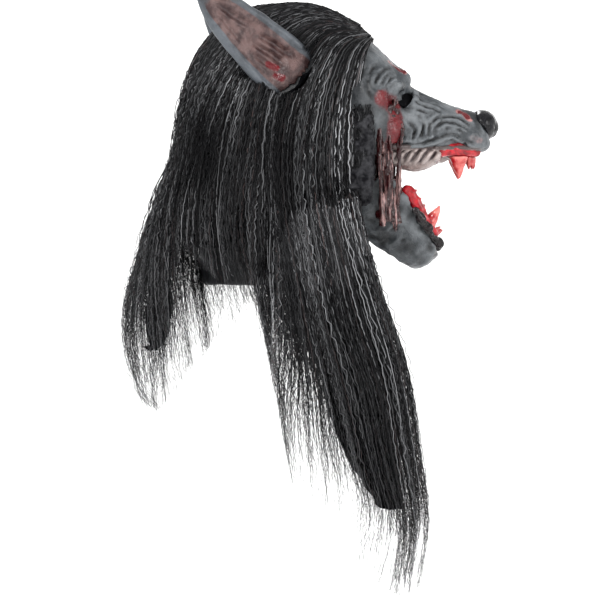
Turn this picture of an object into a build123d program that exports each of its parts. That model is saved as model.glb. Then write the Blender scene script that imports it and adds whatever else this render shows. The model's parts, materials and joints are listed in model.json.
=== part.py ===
"""Overhead latex wolf mask with long synthetic hair, modelled in millimetres.

The wearer looks along +X, +Y is the mask's left side and +Z is up. The origin is the centre of the
flat underside of the crown pad, where the top of the wearer's head rests.

The skins are shells cut from lofted forms. A form is a loft through ellipses, and every form takes a
`grow` value, so that a lining, a skin and the hair over it follow one another at named distances.
"""

import os
from math import cos, pi, radians, sin

from build123d import *

# ---------------------------------------------------------------- skull and neck
SKIN_WALL = 3.0
PAD_THICKNESS = 12.0  # foam between the wearer's crown and the skin
SKULL_CENTRE_X = 2.0
SKULL_HALF_LENGTH = 98.0
SKULL_HALF_WIDTH = 83.0
SKULL_RISE = 110.0  # from the widest level up to the crown
DOME_ANGLES = (0, 22, 42, 58, 71, 81)  # degrees up the dome
NECK_DEPTH = 180.0  # from the widest level down to the neck edge
NECK_HALF_LENGTH = 82.0
NECK_HALF_WIDTH = 76.0
NECK_CENTRE_X = -9.0

# ---------------------------------------------------------------- muzzle and mouth
MUZZLE_LENGTH = 103.0
MUZZLE_ROOT = 20.0  # how far the muzzle reaches back into the skull
LIP_DROP = 39.0  # from the widest level down to the upper lip
BROW_RISE = 79.0  # from the lip up to the brow
MUZZLE_RISE = 41.0  # from the lip up to the bridge beside the nose
MUZZLE_HALF_WIDTH = 47.0  # under the eyes
SNOUT_HALF_WIDTH = 27.0
NOSE_RADIUS = 14.0
EYE_SPACING = 66.0
EYE_HALF_WIDTH = 12.0
EYE_HALF_HEIGHT = 9.0
EYE_BELOW_BROW = 23.0

# ---------------------------------------------------------------- jaw
JAW_PIVOT_BACK = 55.0  # from the front of the skull back to the pivot
JAW_PIVOT_DROP = 36.0  # from the widest level down to the pivot
JAW_LENGTH = 156.0  # from the pivot to the chin
JAW_ANGLE = 49.0  # degrees below level, mouth open
JAW_HALF_WIDTH = 50.0
CHIN_HALF_WIDTH = 25.0
LIP_TILT = 58.2  # degrees below level of the lower lip line
JAW_BACK_GAP = 16.0  # from the pivot's front to the cut of the jaw skin

# ---------------------------------------------------------------- gums and teeth
GUM_HEIGHT = 6.0
GUM_WIDTH = 8.0
FANG_LENGTH = 23.0
FANG_RADIUS = 6.0
INCISOR_LENGTH = 13.0
INCISOR_RADIUS = 2.6
MOLAR_LENGTH = 6.0
MOLAR_RADIUS = 3.2
TOOTH_GAP = 0.2  # glue line between a tooth and its gum
FANG_ANGLES = (-38, 38)  # degrees round the arch from its front
INCISOR_ANGLES = (-21, -13, -4.5, 4.5, 13, 21)
UPPER_MOLAR_ANGLES = (-82, -73, -65, -57, 57, 65, 73, 82)
LOWER_MOLAR_ANGLES = (-76, -67, -59, 59, 67, 76)
UPPER_FANG_RAKE = 2.0  # tip forward of the root
LOWER_FANG_RAKE = -9.0
LOWER_FANG_SHORTER = 3.0  # lower fangs against the upper ones
LOWER_FANG_THINNER = 1.0
LOWER_INCISOR_SHORTER = 4.0
LOWER_GUM_LENGTH = 70.0
LOWER_GUM_SPREAD = 8.0  # the lower gum's half width over the chin's
GUM_SINK = 2.0  # lower gum below the lip line
TONGUE_DROP = 9.0  # the tongue's middle below the lip line

# ---------------------------------------------------------------- torn cheeks
STRAND_COUNT = 5
STRAND_RADIUS = 2.4
STRAND_STEP = 5.6
STRAND_TOP_BACK = 15.0  # first strand behind the skull's front, at its top
STRAND_FOOT_BACK = 14.0
STRAND_TOP_DROP = 6.0  # strand tops below the widest level
STRAND_FOOT_DROP = 64.0  # strand feet below the pivot
STRAND_BULGE = 2.0  # each strand's middle stands out and back by this
JAW_SHARES = (0.0, 0.25, 0.5, 0.75)  # of the way down a strand's lower half, where it clears the jaw
CHEEK_FUR_THICKNESS = 4.0
CHEEK_FUR_LENGTH = 18.0

# ---------------------------------------------------------------- ears
EAR_LENGTH = 131.0
EAR_HALF_WIDTH = 31.0
EAR_HALF_THICKNESS = 11.0
EAR_WALL = 3.0
EAR_BACK = 6.0  # ear root behind the skull's centre
EAR_RISE = 38.0  # ear root above the widest level
EAR_SWEEP = (-0.712, -0.334, 0.617)  # from root to tip, right ear
EAR_WIDTH_AXIS = (0.607, 0.148, 0.781)
EAR_CLEARANCE = 9.0  # hair kept off the ear while it flexes
EAR_ROOT_GAP = 5.0  # soft web between the skull and the stiffer ear
EAR_INSET = 9.0  # ear root inside the skull's widest side

# ---------------------------------------------------------------- hair
BACKING_THICKNESS = 1.2
HAIR_CROWN = 8.0
HAIR_SIDE = 15.0
HAIR_BACK = 22.0
HAIR_PART_GAP = 1.0  # between neighbouring hair masses
HAIRLINE_BACK = 40.0  # forehead hairline behind the front of the skull
SIDE_HAIR_BACK = 40.0  # front edge of the side hair behind the front of the skull
HAIR_DROP = 128.0  # from the widest level to where the hair hangs free
MANE_LENGTH = 182.0
MANE_HALF_WIDTH = 74.0
MANE_ROOT_RADIUS = 27.0
MANE_BEHIND_NECK = 7.0  # clear space between the neck and the mane at rest
CURTAIN_FRONT_DROP = 69.0  # the side curtains' lower edge below where the hair hangs free
CURTAIN_BACK_DROP = 100.0
LOCK_LENGTH = 356.0
LOCK_THICKNESS = 40.0
LOCK_SWEEP = 88.0  # how far forward the lock's end stands
LOCK_ROOT_RADIUS = 45.0
LOCK_OFF_NECK = 3.0  # clear space between the neck's side and the lock
SWING_GAP = 1.5  # radial clearance round the root of swinging hair
SWING_LIFT = 13.0  # hair cut back above a swinging root
MANE_OFF_NECK = 8.0  # more clear space behind the neck for the mane's swing
LOCK_PIVOT_BACK = 68.0  # the lock's pivot behind the front of the skull
LOCK_PIVOT_DROP = 14.0  # the lock's pivot below the level where the hair hangs free
LOCK_OFF_BACKING = 0.8  # the least clear space between the hair's cloth and the lock
LOCK_ROOT_ANGLES = (15, 30, 45, 60, 75, 90)  # places on the lock's round root, in degrees
BACK_HAIR_FRONT = 26.0  # front edge of the back hair behind the skull's centre

# ---------------------------------------------------------------- linings
GLUE_GAP = 0.2
LINING = 8.0
MESH_THICKNESS = 1.0
MOUTH_MARGIN = 8.0  # head skin kept clear of the jaw
FLEX_GAP = 0.6  # soft cheek pieces stand off the skins

# ---------------------------------------------------------------- worked-out places
EQUATOR_Z = PAD_THICKNESS + SKIN_WALL - SKULL_RISE * sin(radians(DOME_ANGLES[-1]))
SKULL_FRONT = SKULL_CENTRE_X + SKULL_HALF_LENGTH
NECK_Z = EQUATOR_Z - NECK_DEPTH
LIP_Z = EQUATOR_Z - LIP_DROP
BROW_Z = LIP_Z + BROW_RISE
NOSE_X = SKULL_FRONT + MUZZLE_LENGTH
PIVOT = Vector(SKULL_FRONT - JAW_PIVOT_BACK, 0, EQUATOR_Z - JAW_PIVOT_DROP)
JAW_AXIS = Vector(cos(radians(JAW_ANGLE)), 0, -sin(radians(JAW_ANGLE)))
JAW_UP = Vector(sin(radians(JAW_ANGLE)), 0, cos(radians(JAW_ANGLE)))
JAW_BACK_X = PIVOT.X + 2 * JAW_BACK_GAP
LIP_AXIS = Vector(cos(radians(LIP_TILT)), 0, -sin(radians(LIP_TILT)))
LIP_UP = Vector(sin(radians(LIP_TILT)), 0, cos(radians(LIP_TILT)))
EAR_ROOT = Vector(SKULL_CENTRE_X - EAR_BACK, -(SKULL_HALF_WIDTH - EAR_INSET), EQUATOR_Z + EAR_RISE)
HANG_Z = EQUATOR_Z - HAIR_DROP
BIG = 600.0


def ellipse_loft(stations):
    """A solid through ellipses. A station is (plane, half size along x, half size along y)."""
    with BuildPart() as form:
        for plane, half_x, half_y in stations:
            with BuildSketch(plane):
                Ellipse(half_x, half_y)
        loft()
    return form.part


def block(low, high):
    """A box between two corners."""
    with BuildPart() as form:
        with Locations((Vector(*low) + Vector(*high)) * 0.5):
            Box(*(high[i] - low[i] for i in range(3)))
    return form.part


def head_form(grow):
    """The skull dome and the neck below it, `grow` outside the skin's outer face."""
    levels = [
        (NECK_Z - max(grow, 0), NECK_CENTRE_X, NECK_HALF_LENGTH, NECK_HALF_WIDTH),
        (EQUATOR_Z - 0.64 * NECK_DEPTH, NECK_CENTRE_X, NECK_HALF_LENGTH, NECK_HALF_WIDTH),
        (EQUATOR_Z - 0.3 * NECK_DEPTH, SKULL_CENTRE_X - 2, SKULL_HALF_LENGTH - 7, SKULL_HALF_WIDTH - 2),
    ]
    stations = [
        (Plane.XY.offset(z).move(Location((x, 0, 0))), half_x + grow, half_y + grow)
        for z, x, half_x, half_y in levels
    ]
    for angle in DOME_ANGLES:
        up, out = sin(radians(angle)), cos(radians(angle))
        plane = Plane.XY.offset(EQUATOR_Z + (SKULL_RISE + grow) * up).move(Location((SKULL_CENTRE_X, 0, 0)))
        stations.append((plane, (SKULL_HALF_LENGTH + grow) * out, (SKULL_HALF_WIDTH + grow) * out))
    return ellipse_loft(stations)


def muzzle_form(grow):
    """The upper muzzle. Its ellipses reach below the lip, where the skin is cut open."""
    rows = [  # share of the length, rise above the lip, half width
        (-MUZZLE_ROOT / MUZZLE_LENGTH, BROW_RISE + 14, MUZZLE_HALF_WIDTH + 12),
        (0.12, BROW_RISE, MUZZLE_HALF_WIDTH),
        (0.27, BROW_RISE - 13, MUZZLE_HALF_WIDTH - 8),
        (0.58, MUZZLE_RISE + 7, SNOUT_HALF_WIDTH + 4),
        (0.86, MUZZLE_RISE, SNOUT_HALF_WIDTH),
        (1.0, MUZZLE_RISE - 5, SNOUT_HALF_WIDTH - 6),
    ]
    stations = []
    for share, rise, half_width in rows:
        below = 0.3 * rise
        centre = Vector(SKULL_FRONT + share * MUZZLE_LENGTH, 0, LIP_Z + below)
        if share == 1.0:
            centre.X += grow
        plane = Plane(origin=centre, x_dir=(0, 1, 0), z_dir=(1, 0, 0))
        stations.append((plane, half_width + grow, rise - below + grow))
    return ellipse_loft(stations)


def jaw_form(grow):
    """The lower jaw. Its ellipses are centred near the lip, so the cut there leaves a trough."""
    rows = [  # share of the length, centre above the axis, depth below that, half width
        (0.40, 24, 80, JAW_HALF_WIDTH + 5),
        (0.46, 20, 68, JAW_HALF_WIDTH),
        (0.61, 14, 53, 0.7 * JAW_HALF_WIDTH + 0.3 * CHIN_HALF_WIDTH),
        (0.74, 11, 41, 0.4 * JAW_HALF_WIDTH + 0.6 * CHIN_HALF_WIDTH),
        (0.85, 9, 32, 0.2 * JAW_HALF_WIDTH + 0.8 * CHIN_HALF_WIDTH),
        (0.94, 6, 24, CHIN_HALF_WIDTH),
        (1.0, 2, 12, CHIN_HALF_WIDTH - 9),
    ]
    stations = []
    for share, rise, depth, half_width in rows:
        reach = share * JAW_LENGTH + (grow if share == 1.0 else 0)
        plane = Plane(origin=PIVOT + JAW_AXIS * reach + JAW_UP * rise, x_dir=(0, 1, 0), z_dir=JAW_AXIS)
        stations.append((plane, half_width + grow, depth + grow))
    return ellipse_loft(stations)


def hair_form():
    """The outside of the hair that lies on the head, from the crown to where it hangs free."""
    back = 0.5 * (HAIR_BACK - HAIR_SIDE)
    hanging = (NECK_CENTRE_X - 32, NECK_HALF_LENGTH + HAIR_BACK + 10, SKULL_HALF_WIDTH + HAIR_SIDE + 2)
    levels = [
        (HANG_Z - CURTAIN_BACK_DROP - 20, *hanging),
        (HANG_Z - 12, *hanging),
        (EQUATOR_Z - 0.4 * HAIR_DROP, -14, SKULL_HALF_LENGTH + HAIR_SIDE, SKULL_HALF_WIDTH + HAIR_SIDE + 2),
    ]
    stations = [
        (Plane.XY.offset(z).move(Location((x, 0, 0))), half_x, half_y) for z, x, half_x, half_y in levels
    ]
    for angle in DOME_ANGLES:
        up, out = sin(radians(angle)), cos(radians(angle))
        plane = Plane.XY.offset(EQUATOR_Z + (SKULL_RISE + HAIR_CROWN + 1) * up)
        plane = plane.move(Location((SKULL_CENTRE_X - back, 0, 0)))
        length = SKULL_HALF_LENGTH + 0.5 * (HAIR_BACK + HAIR_SIDE)
        stations.append((plane, length * out, (SKULL_HALF_WIDTH + HAIR_SIDE) * out))
    return ellipse_loft(stations)


def ear_form(grow, shift=0.0):
    """The right ear's leaf shape, `grow` fatter, moved `shift` towards its open side."""
    axis, width = Vector(*EAR_SWEEP).normalized(), Vector(*EAR_WIDTH_AXIS).normalized()
    open_side = width.cross(axis)
    rows = [  # share of the length, share of the half width, share of the half thickness
        (-0.1, 0.98, 1.0),
        (0.0, 1.0, 1.0),
        (0.25, 0.95, 0.95),
        (0.5, 0.82, 0.8),
        (0.75, 0.58, 0.6),
        (0.9, 0.3, 0.35),
        (1.0, 0.07, 0.12),
    ]
    stations = []
    for share, wide, thick in rows:
        centre = EAR_ROOT + axis * (share * EAR_LENGTH) + open_side * shift
        plane = Plane(origin=centre, x_dir=width, z_dir=axis)
        half_width = max(wide * EAR_HALF_WIDTH + grow, 0.5)
        stations.append((plane, half_width, max(thick * EAR_HALF_THICKNESS + grow, 0.5)))
    return ellipse_loft(stations)


def both_sides(name, right):
    """Writes the right-hand piece and its mirror image."""
    right.label = name + "_right"
    export_step(right, f"parts/{name}_right.step")
    left = mirror(right, about=Plane.XZ, mode=Mode.PRIVATE)
    left.label = name + "_left"
    export_step(left, f"parts/{name}_left.step")


def save(builder, name):
    """Labels a finished piece and writes it."""
    builder.part.label = name
    export_step(builder.part, f"parts/{name}.step")


os.makedirs("parts", exist_ok=True)

skull = head_form(0)
skull_inside = head_form(-SKIN_WALL)
muzzle = muzzle_form(0)
muzzle_inside = muzzle_form(-SKIN_WALL)
jaw = jaw_form(0)
jaw_inside = jaw_form(-SKIN_WALL)
above_lip = block((-BIG, -BIG, LIP_Z), (BIG, BIG, BIG))
below_neck = block((-BIG, -BIG, NECK_Z - 50), (BIG, BIG, NECK_Z))
mouth_half_width = JAW_HALF_WIDTH + MOUTH_MARGIN + 2
throat_z = PIVOT.Z - JAW_LENGTH * sin(radians(JAW_ANGLE)) - 14

# ---------------------------------------------------------------- skins
with BuildPart() as head_skin:
    add(skull)
    add(skull_inside, mode=Mode.SUBTRACT)
    add(below_neck, mode=Mode.SUBTRACT)
    add(muzzle_inside & above_lip, mode=Mode.SUBTRACT)
    mouth_back = JAW_BACK_X - MOUTH_MARGIN - 10
    mouth_window = block(
        (mouth_back, -mouth_half_width, throat_z), (BIG, mouth_half_width, LIP_Z + GLUE_GAP)
    )
    add(mouth_window, mode=Mode.SUBTRACT)
save(head_skin, "head_skin")

eye_z = BROW_Z - EYE_BELOW_BROW
eye_places = [(side * EYE_SPACING / 2, eye_z) for side in (-1, 1)]
front_plane = Plane(origin=(SKULL_FRONT, 0, 0), x_dir=(0, 1, 0), z_dir=(1, 0, 0))

with BuildPart() as muzzle_skin:
    add(muzzle & above_lip)
    add(muzzle_inside, mode=Mode.SUBTRACT)
    add(skull, mode=Mode.SUBTRACT)
    with BuildSketch(front_plane):
        with Locations(*eye_places):
            Ellipse(EYE_HALF_WIDTH, EYE_HALF_HEIGHT)
    extrude(amount=MUZZLE_LENGTH / 2, both=True, mode=Mode.SUBTRACT)
save(muzzle_skin, "muzzle_skin")

with BuildPart() as eye_mesh:
    add(muzzle_form(-SKIN_WALL - GLUE_GAP))
    add(muzzle_form(-SKIN_WALL - GLUE_GAP - MESH_THICKNESS), mode=Mode.SUBTRACT)
    with BuildSketch(front_plane):
        with Locations(eye_places[0]):
            Ellipse(EYE_HALF_WIDTH + 3, EYE_HALF_HEIGHT + 3)
    extrude(amount=MUZZLE_LENGTH / 2, both=True, mode=Mode.INTERSECT)
both_sides("eye_mesh", eye_mesh.part)

nose_half_width = SNOUT_HALF_WIDTH - 7
nose_z = LIP_Z + MUZZLE_RISE - NOSE_RADIUS
nose_ball = scale(Sphere(NOSE_RADIUS), (1, nose_half_width / NOSE_RADIUS, 1))
with BuildPart() as nose_pad:
    with Locations((NOSE_X - 4, 0, nose_z)):
        add(nose_ball)
    add(muzzle_form(GLUE_GAP), mode=Mode.SUBTRACT)
    with BuildSketch(Plane(origin=(NOSE_X + 5, 0, nose_z), x_dir=(0, 1, 0), z_dir=(1, 0, 0))):
        with Locations((-8, -2), (8, -2)):
            Ellipse(2.6, 4.2)
    extrude(amount=20, mode=Mode.SUBTRACT)
save(nose_pad, "nose_pad")

# ---------------------------------------------------------------- mouth, upper half
palate_back = SKULL_FRONT - 4
palate_bulge_z = LIP_Z - 12
with BuildPart() as palate:
    add(muzzle_form(-SKIN_WALL - GLUE_GAP))
    add(block((palate_back, -BIG, LIP_Z), (BIG, BIG, LIP_Z + 5)), mode=Mode.INTERSECT)
    bulge = ellipse_loft(
        [
            (Plane.XY.offset(palate_bulge_z).move(Location((SKULL_FRONT + 36, 0, 0))), 22, 9),
            (Plane.XY.offset(LIP_Z - 5).move(Location((SKULL_FRONT + 37, 0, 0))), 33, 14),
            (Plane.XY.offset(LIP_Z + 0.5).move(Location((SKULL_FRONT + 38, 0, 0))), 37, 16),
        ]
    )
    add(bulge)
save(palate, "palate")


def gum_arch(plane, length, half_width, back):
    """A horseshoe of gum on a plane whose x runs forward along the mouth."""
    with BuildPart() as arch:
        with BuildSketch(plane):
            Ellipse(length, half_width)
            Ellipse(length - GUM_WIDTH, half_width - GUM_WIDTH, mode=Mode.SUBTRACT)
            with Locations((-BIG / 2 + back, 0)):
                Rectangle(BIG, BIG, mode=Mode.SUBTRACT)
        extrude(amount=GUM_HEIGHT)
    return arch.part


def tooth(plane, x, y, length, radius, rake):
    """One pointed tooth standing on a plane, with its tip moved by rake forward."""
    foot = plane.offset(TOOTH_GAP)
    middle = plane.offset(TOOTH_GAP + 0.55 * length)
    tip = plane.offset(TOOTH_GAP + length)
    with BuildPart() as shape:
        for level, share, size in ((foot, 0.0, 1.0), (middle, 0.4, 0.72), (tip, 1.0, 0.12)):
            with BuildSketch(level):
                with Locations((x + rake * share, y)):
                    Circle(radius * size)
        loft()
    return shape.part


def arch_point(length, half_width, angle):
    """The middle of the gum at an angle from the front of the arch, in degrees."""
    mid = GUM_WIDTH / 2
    return (length - mid) * cos(radians(angle)), (half_width - mid) * sin(radians(angle))


def teeth_row(arch, angles, size, radius, rake=0.0):
    """Separate teeth at these angles round an arch (plane, length, half width), as one group."""
    plane, length, half_width = arch
    with BuildPart() as row:
        for angle in angles:
            x, y = arch_point(length, half_width, angle)
            add(tooth(plane, x, y, size, radius, rake))
    return row


upper_length = 0.86 * MUZZLE_LENGTH
upper_half_width = SNOUT_HALF_WIDTH - SKIN_WALL
upper_centre = Vector(NOSE_X - 8 - upper_length, 0, LIP_Z - GLUE_GAP)
upper_plane = Plane(origin=upper_centre, x_dir=(1, 0, 0), z_dir=(0, 0, -1))
with BuildPart() as upper_gum:
    add(gum_arch(upper_plane, upper_length, upper_half_width, SKULL_FRONT + 18 - upper_centre.X))
    add(palate.part, mode=Mode.SUBTRACT)
save(upper_gum, "upper_gum")
upper_arch = (upper_plane.offset(GUM_HEIGHT), upper_length, upper_half_width)
save(teeth_row(upper_arch, FANG_ANGLES, FANG_LENGTH, FANG_RADIUS, UPPER_FANG_RAKE), "upper_fangs")
save(teeth_row(upper_arch, INCISOR_ANGLES, INCISOR_LENGTH, INCISOR_RADIUS), "upper_incisors")
save(teeth_row(upper_arch, UPPER_MOLAR_ANGLES, MOLAR_LENGTH, MOLAR_RADIUS), "upper_molars")

# ---------------------------------------------------------------- jaw
lip_start = PIVOT + JAW_AXIS * (0.46 * JAW_LENGTH) + JAW_UP * 27
lip_plane = Plane(origin=lip_start, x_dir=LIP_AXIS, z_dir=LIP_UP)
with BuildPart() as over_jaw_lip:
    with BuildSketch(lip_plane):
        Rectangle(BIG, BIG)
    extrude(amount=BIG)
jaw_back = block((-BIG, -BIG, -BIG), (JAW_BACK_X, BIG, BIG))
with BuildPart() as jaw_skin:
    add(jaw)
    add(jaw_inside, mode=Mode.SUBTRACT)
    add(over_jaw_lip.part, mode=Mode.SUBTRACT)
    add(jaw_back, mode=Mode.SUBTRACT)
save(jaw_skin, "jaw_skin")

lower_half_width = CHIN_HALF_WIDTH + LOWER_GUM_SPREAD
lower_plane = lip_plane.offset(-GUM_SINK)
with BuildPart() as lower_gum:
    add(gum_arch(lower_plane, LOWER_GUM_LENGTH, lower_half_width, 12))
    add(jaw_form(-SKIN_WALL - GLUE_GAP), mode=Mode.INTERSECT)
save(lower_gum, "lower_gum")
lower_arch = (lower_plane.offset(GUM_HEIGHT), LOWER_GUM_LENGTH, lower_half_width)
lower_fang = (FANG_LENGTH - LOWER_FANG_SHORTER, FANG_RADIUS - LOWER_FANG_THINNER)
save(teeth_row(lower_arch, FANG_ANGLES, *lower_fang, LOWER_FANG_RAKE), "lower_fangs")
lower_incisor = (INCISOR_LENGTH - LOWER_INCISOR_SHORTER, INCISOR_RADIUS)
save(teeth_row(lower_arch, INCISOR_ANGLES, *lower_incisor), "lower_incisors")
save(teeth_row(lower_arch, LOWER_MOLAR_ANGLES, MOLAR_LENGTH, MOLAR_RADIUS), "lower_molars")

tongue_half_width = lower_half_width - GUM_WIDTH - 8
tongue_rows = [(-6, 0.9, 7), (14, 1.0, 8), (34, 0.85, 7), (46, 0.5, 4)]
with BuildPart() as tongue:
    add(
        ellipse_loft(
            [
                (
                    Plane(
                        origin=lip_start + LIP_AXIS * reach - LIP_UP * TONGUE_DROP,
                        x_dir=(0, 1, 0),
                        z_dir=LIP_AXIS,
                    ),
                    tongue_half_width * wide,
                    thick,
                )
                for reach, wide, thick in tongue_rows
            ]
        )
    )
save(tongue, "tongue")

with BuildPart() as chin_cup:
    add(jaw_form(-SKIN_WALL - GLUE_GAP))
    add(jaw_form(-SKIN_WALL - GLUE_GAP - LINING), mode=Mode.SUBTRACT)
    cup_low = (JAW_BACK_X + 2, -24, PIVOT.Z - BIG)
    add(block(cup_low, (JAW_BACK_X + 36, 24, PIVOT.Z - 70)), mode=Mode.INTERSECT)
save(chin_cup, "chin_cup")

# ---------------------------------------------------------------- soft throat and torn cheeks
throat_top = Vector(JAW_BACK_X - FLEX_GAP, 0, PIVOT.Z - 97)
throat_foot_x = NECK_CENTRE_X + NECK_HALF_LENGTH
with BuildPart() as throat_web:
    with BuildSketch(Plane.XZ):
        with BuildLine():
            Polyline(
                (throat_top.X, throat_top.Z),
                (throat_foot_x, throat_z + FLEX_GAP),
                (throat_foot_x - SKIN_WALL, throat_z + FLEX_GAP),
                (throat_top.X - SKIN_WALL, throat_top.Z),
                close=True,
            )
        make_face()
    extrude(amount=34, both=True)
save(throat_web, "throat_web")


def side_points(form, x, z):
    """Every point where a level line across the mask meets a form at a given x and z."""
    return [point for point, normal in form.find_intersection_points(Axis((x, -BIG, z), (0, 1, 0)))]


def right_side_of(form, x, z):
    """The outermost point of a form's right side at a given x and z."""
    return min(side_points(form, x, z), key=lambda point: point.Y)


off_skin = Vector(0, -(STRAND_RADIUS + FLEX_GAP), 0)
with BuildPart() as cheek_sinew:
    for n in range(STRAND_COUNT):
        top_x = SKULL_FRONT - STRAND_TOP_BACK + STRAND_STEP * n
        foot_x = SKULL_FRONT - STRAND_FOOT_BACK + STRAND_STEP * n
        start = right_side_of(muzzle, top_x, EQUATOR_Z - STRAND_TOP_DROP) + off_skin
        end = right_side_of(jaw, foot_x, PIVOT.Z - STRAND_FOOT_DROP - 3 * n) + off_skin
        middle_z = 0.5 * (start.Z + end.Z)
        levels = [middle_z + share * (end.Z - middle_z) for share in JAW_SHARES]
        jaw_side = min(point.Y for z in levels for point in side_points(jaw, foot_x, z))
        clear_y = min(start.Y, end.Y, jaw_side + off_skin.Y + STRAND_BULGE)
        middle = Vector(start.X - STRAND_BULGE, clear_y - STRAND_BULGE, middle_z)
        with BuildLine() as route:
            Spline(start, middle, end)
        with BuildSketch(Plane(origin=start, z_dir=route.line % 0)):
            Circle(STRAND_RADIUS)
        sweep(path=route.line)
    add(jaw_form(FLEX_GAP), mode=Mode.SUBTRACT)
    add(muzzle_form(FLEX_GAP), mode=Mode.SUBTRACT)
both_sides("cheek_sinew", cheek_sinew.part)

# ---------------------------------------------------------------- ears
ear_flex_gap = head_form(EAR_ROOT_GAP)
with BuildPart() as ear:
    add(ear_form(0))
    add(ear_form(-EAR_WALL, shift=EAR_HALF_THICKNESS * 0.75), mode=Mode.SUBTRACT)
    add(ear_flex_gap, mode=Mode.SUBTRACT)
ear_solids = ear.part.solids().sort_by(SortBy.VOLUME)
both_sides("ear", Part(ear_solids[-1].wrapped))

with BuildPart() as ear_root:
    add(ear_form(0))
    add(head_form(EAR_ROOT_GAP - GLUE_GAP), mode=Mode.INTERSECT)
    add(head_form(GLUE_GAP), mode=Mode.SUBTRACT)
both_sides("ear_root", ear_root.part)

# ---------------------------------------------------------------- hair on the head
ear_room = ear_form(EAR_CLEARANCE)
backing_face = head_form(GLUE_GAP)
hair_face = head_form(GLUE_GAP + BACKING_THICKNESS)
hair_outside = hair_form()
ear_room_left = mirror(ear_room, about=Plane.XZ, mode=Mode.PRIVATE)
hairline_x = SKULL_FRONT - HAIRLINE_BACK
side_front_x = SKULL_FRONT - SIDE_HAIR_BACK

with BuildPart() as hair_backing:
    add(hair_face)
    add(backing_face, mode=Mode.SUBTRACT)
    add(block((-BIG, -BIG, HANG_Z), (side_front_x, BIG, BIG)), mode=Mode.INTERSECT)
    add(ear_room, mode=Mode.SUBTRACT)
    add(ear_room_left, mode=Mode.SUBTRACT)
save(hair_backing, "hair_backing")

with BuildPart() as crown_hair:
    add(hair_outside)
    add(block((-BIG, -BIG, EQUATOR_Z + HAIR_PART_GAP), (hairline_x, BIG, BIG)), mode=Mode.INTERSECT)
    add(head_form(2 * GLUE_GAP + BACKING_THICKNESS), mode=Mode.SUBTRACT)
    add(ear_room, mode=Mode.SUBTRACT)
    add(ear_room_left, mode=Mode.SUBTRACT)
save(crown_hair, "crown_hair")

neck_back_x = NECK_CENTRE_X - NECK_HALF_LENGTH
lock_half_thickness = 0.5 * LOCK_THICKNESS
mane_pivot_x = neck_back_x - MANE_BEHIND_NECK - MANE_OFF_NECK - MANE_ROOT_RADIUS
MANE_PIVOT = Vector(mane_pivot_x, 0, HANG_Z)
lock_z = HANG_Z - LOCK_PIVOT_DROP
cloth_side = 0.0
for angle in LOCK_ROOT_ANGLES:
    rim_x = SKULL_FRONT - LOCK_PIVOT_BACK - LOCK_ROOT_RADIUS * cos(radians(angle))
    rim_z = lock_z + LOCK_ROOT_RADIUS * sin(radians(angle))
    cloth_side = max(cloth_side, -right_side_of(hair_face, rim_x, rim_z).Y)
lock_inner_y = max(NECK_HALF_WIDTH + LOCK_OFF_NECK, cloth_side + LOCK_OFF_BACKING)
lock_y = -(lock_inner_y + lock_half_thickness)
LOCK_PIVOT = Vector(SKULL_FRONT - LOCK_PIVOT_BACK, lock_y, lock_z)


def swing_room(pivot, radius, half_width):
    """The space that a swinging hair mass needs round and below its pivot."""
    with BuildPart() as room:
        with BuildSketch(Plane.XZ.offset(-pivot.Y)):
            with Locations((pivot.X, pivot.Z)):
                Circle(radius + SWING_GAP)
            with Locations((pivot.X, pivot.Z + SWING_LIFT - BIG / 2)):
                Rectangle(BIG, BIG)
        extrude(amount=half_width + SWING_GAP, both=True)
    return room.part


back_front_x = SKULL_CENTRE_X - BACK_HAIR_FRONT
with BuildPart() as curtain_cut:
    with BuildSketch(Plane.XZ):
        with BuildLine():
            Polyline(
                (BIG, HANG_Z - CURTAIN_FRONT_DROP),
                (back_front_x + 12, HANG_Z - CURTAIN_FRONT_DROP),
                (neck_back_x, HANG_Z - CURTAIN_BACK_DROP),
                (-BIG, HANG_Z - CURTAIN_BACK_DROP),
                (-BIG, -2 * BIG),
                (BIG, -2 * BIG),
                close=True,
            )
        make_face()
    extrude(amount=BIG, both=True)

with BuildPart() as back_hair:
    add(hair_outside)
    add(block((-BIG, -BIG, -BIG), (back_front_x, BIG, EQUATOR_Z)), mode=Mode.INTERSECT)
    add(head_form(2 * GLUE_GAP + BACKING_THICKNESS), mode=Mode.SUBTRACT)
    add(ear_room, mode=Mode.SUBTRACT)
    add(ear_room_left, mode=Mode.SUBTRACT)
    add(swing_room(MANE_PIVOT, MANE_ROOT_RADIUS, MANE_HALF_WIDTH), mode=Mode.SUBTRACT)
    add(curtain_cut.part, mode=Mode.SUBTRACT)
    inner_low = (-BIG, -MANE_HALF_WIDTH - SWING_GAP, -BIG)
    inner_high = (BIG, MANE_HALF_WIDTH + SWING_GAP, HANG_Z + SWING_LIFT)
    add(block(inner_low, inner_high), mode=Mode.SUBTRACT)
save(back_hair, "back_hair")

with BuildPart() as side_hair:
    add(hair_outside)
    side_low = (back_front_x + HAIR_PART_GAP, -BIG, -BIG)
    add(block(side_low, (side_front_x, -10, EQUATOR_Z)), mode=Mode.INTERSECT)
    add(head_form(2 * GLUE_GAP + BACKING_THICKNESS), mode=Mode.SUBTRACT)
    add(ear_room, mode=Mode.SUBTRACT)
    add(swing_room(LOCK_PIVOT, LOCK_ROOT_RADIUS, BIG), mode=Mode.SUBTRACT)
both_sides("side_hair", side_hair.part)

with BuildPart() as cheek_fur:
    add(head_form(CHEEK_FUR_THICKNESS))
    add(head_form(GLUE_GAP), mode=Mode.SUBTRACT)
    fur_low = (side_front_x + HAIR_PART_GAP, -BIG, LIP_Z + 2)
    fur_high = (side_front_x + CHEEK_FUR_LENGTH, -20, EQUATOR_Z - HAIR_PART_GAP)
    add(block(fur_low, fur_high), mode=Mode.INTERSECT)
    add(muzzle_form(FLEX_GAP), mode=Mode.SUBTRACT)
both_sides("cheek_fur", cheek_fur.part)

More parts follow.
